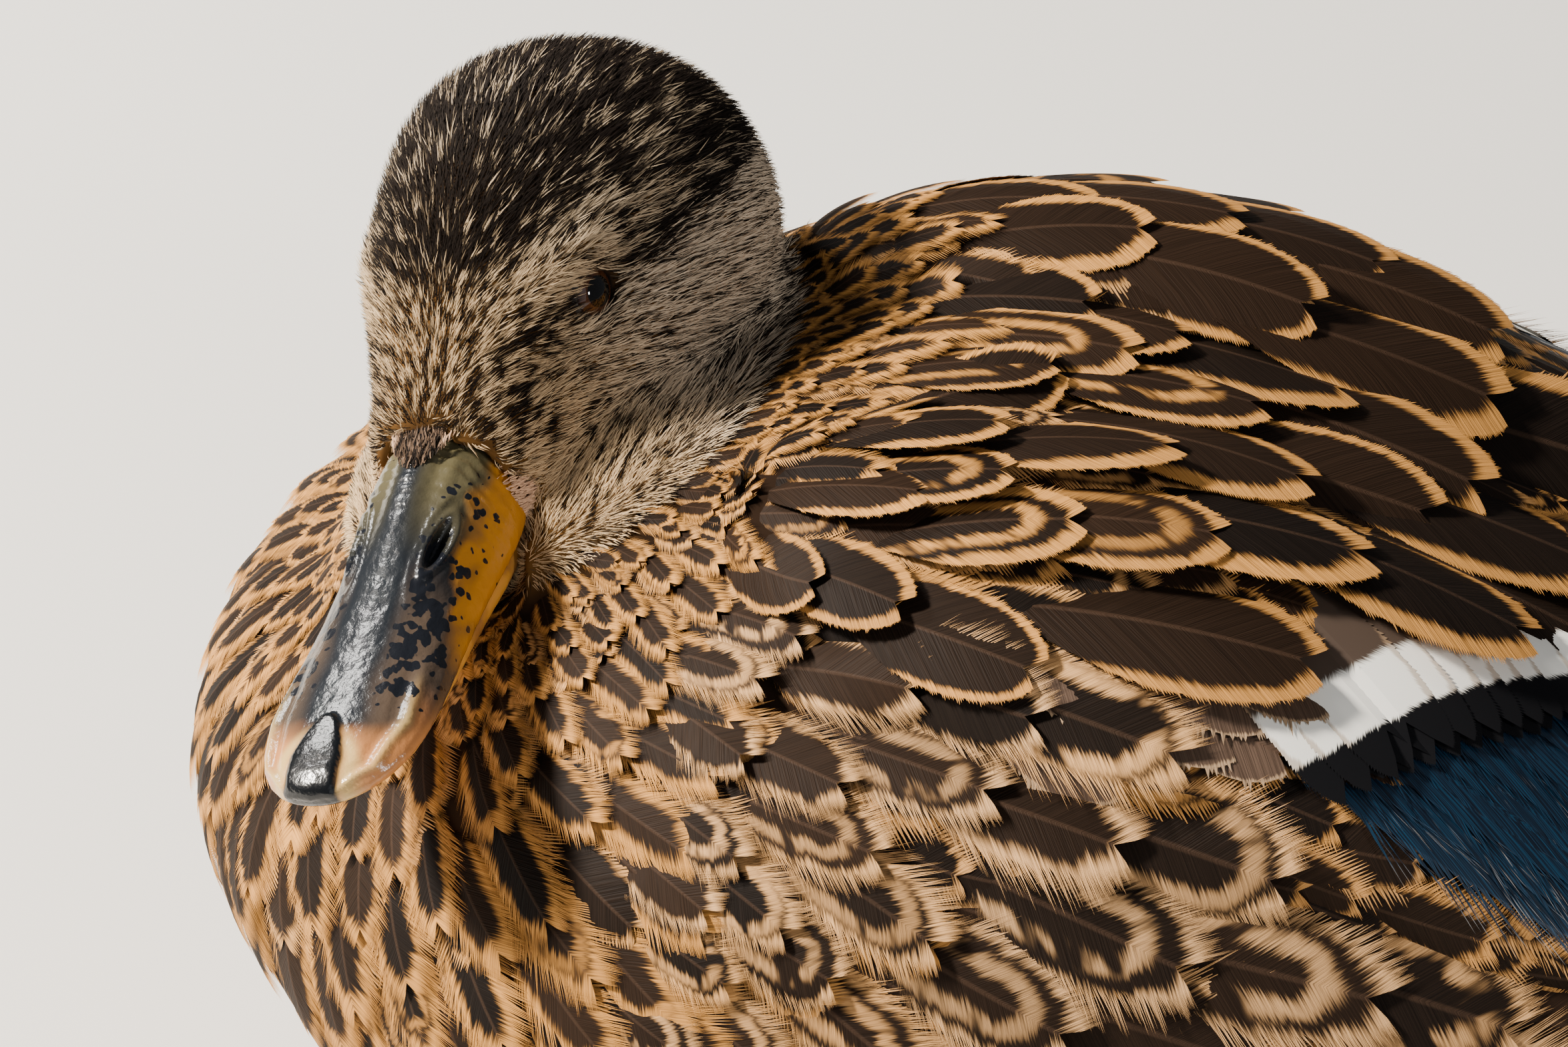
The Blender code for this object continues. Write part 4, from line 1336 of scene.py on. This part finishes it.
WEB_LONG = toe_reach * 0.93
WEB_STRIPS = 10
web_half = WEB_LONG * math.tan(math.radians(FAN / 2))
web = begin(bpy.ops.mesh.primitive_plane_add, size=2 * MM)
bpy.ops.mesh.subdivide(number_cuts=WEB_STRIPS - 1)
shift(0, -1, 0)
for k in range(WEB_STRIPS + 1):
    choose(web, lambda v: abs(v.co.y / MM + 2 / WEB_STRIPS * k) < 0.05)
    stretch((max(0.1, k / WEB_STRIPS) * web_half, 1, 1))
bpy.ops.mesh.select_all(action="SELECT")
stretch((1, WEB_LONG / 2, 1))
shift(0, 0, 1.0)
choose(web, lambda v: v.co.y < (0.5 - WEB_LONG) * MM and abs(v.co.x) < 0.5 * MM)
soft = dict(use_proportional_edit=True, proportional_edit_falloff="SMOOTH", proportional_size=11 * MM)
bpy.ops.transform.translate(value=(0, 5 * MM, 0), **soft)
finish_form(web, ("SOLIDIFY", dict(thickness=1.3 * MM, offset=0)))

shank = begin(bpy.ops.mesh.primitive_cylinder_add, vertices=14, radius=2.5 * MM, depth=14 * MM)
quarter_turn("X")
shift(0, 6, 2.6)
choose(shank, lambda v: v.co.y > 6 * MM)
shift(0, 0, 4.4)
finish_form(shank)
print("toe", round(toe_reach, 1), "mm, web", round(WEB_LONG, 1), "mm")

# %% Feet from their copies
at_heel = Matrix.Translation(Vector((*HEEL, 0)) * MM)


def spread(lean, reach):
    """The pose of a toe that leans so many degrees outward, at a share of its length."""
    turned = Matrix.Rotation(math.radians(FOOT_TURN + lean), 4, "Z")
    return at_heel @ turned @ Matrix.Diagonal((1, reach, 1, 1))


fan = ((-FAN, 0.92), (0, 1.0), (FAN, 0.90))
toes = [copy_of(toe, "toe_copy", spread(lean, reach)) for lean, reach in fan]
webs = [copy_of(web, "web_copy", spread(lean, 1.0)) for lean in (-FAN / 2, FAN / 2)]
foot = joined("foot_left_form", toes + webs + [copy_of(shank, "shank_copy", spread(0, 1))])
one_skin = ("REMESH", dict(mode="VOXEL", voxel_size=0.6 * MM))
finish_form(foot, one_skin, ("SMOOTH", dict(factor=0.5, iterations=3)))
claw_copies = []
for lean, reach in fan:
    drawn_back = Matrix.Translation((0, (1 - reach) * toe_reach * MM, 0))
    claw_copies.append(copy_of(claw, "claw_copy", spread(lean, 1) @ drawn_back))
claws = joined("claws_left_form", claw_copies)
finish_form(claws)
for form, finish in ((foot, foot_finish), (claws, claw_finish)):
    dress(form, finish)
    twin = copy_of(form, form.name.replace("left", "right"), Matrix.Diagonal((-1, 1, 1, 1)))
    for piece in (form, twin):
        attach(piece, "root")
        if piece.name.startswith("foot"):
            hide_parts(piece.name.removesuffix("_form"))
for form in (toe, claw, web, shank):
    bpy.data.objects.remove(form)
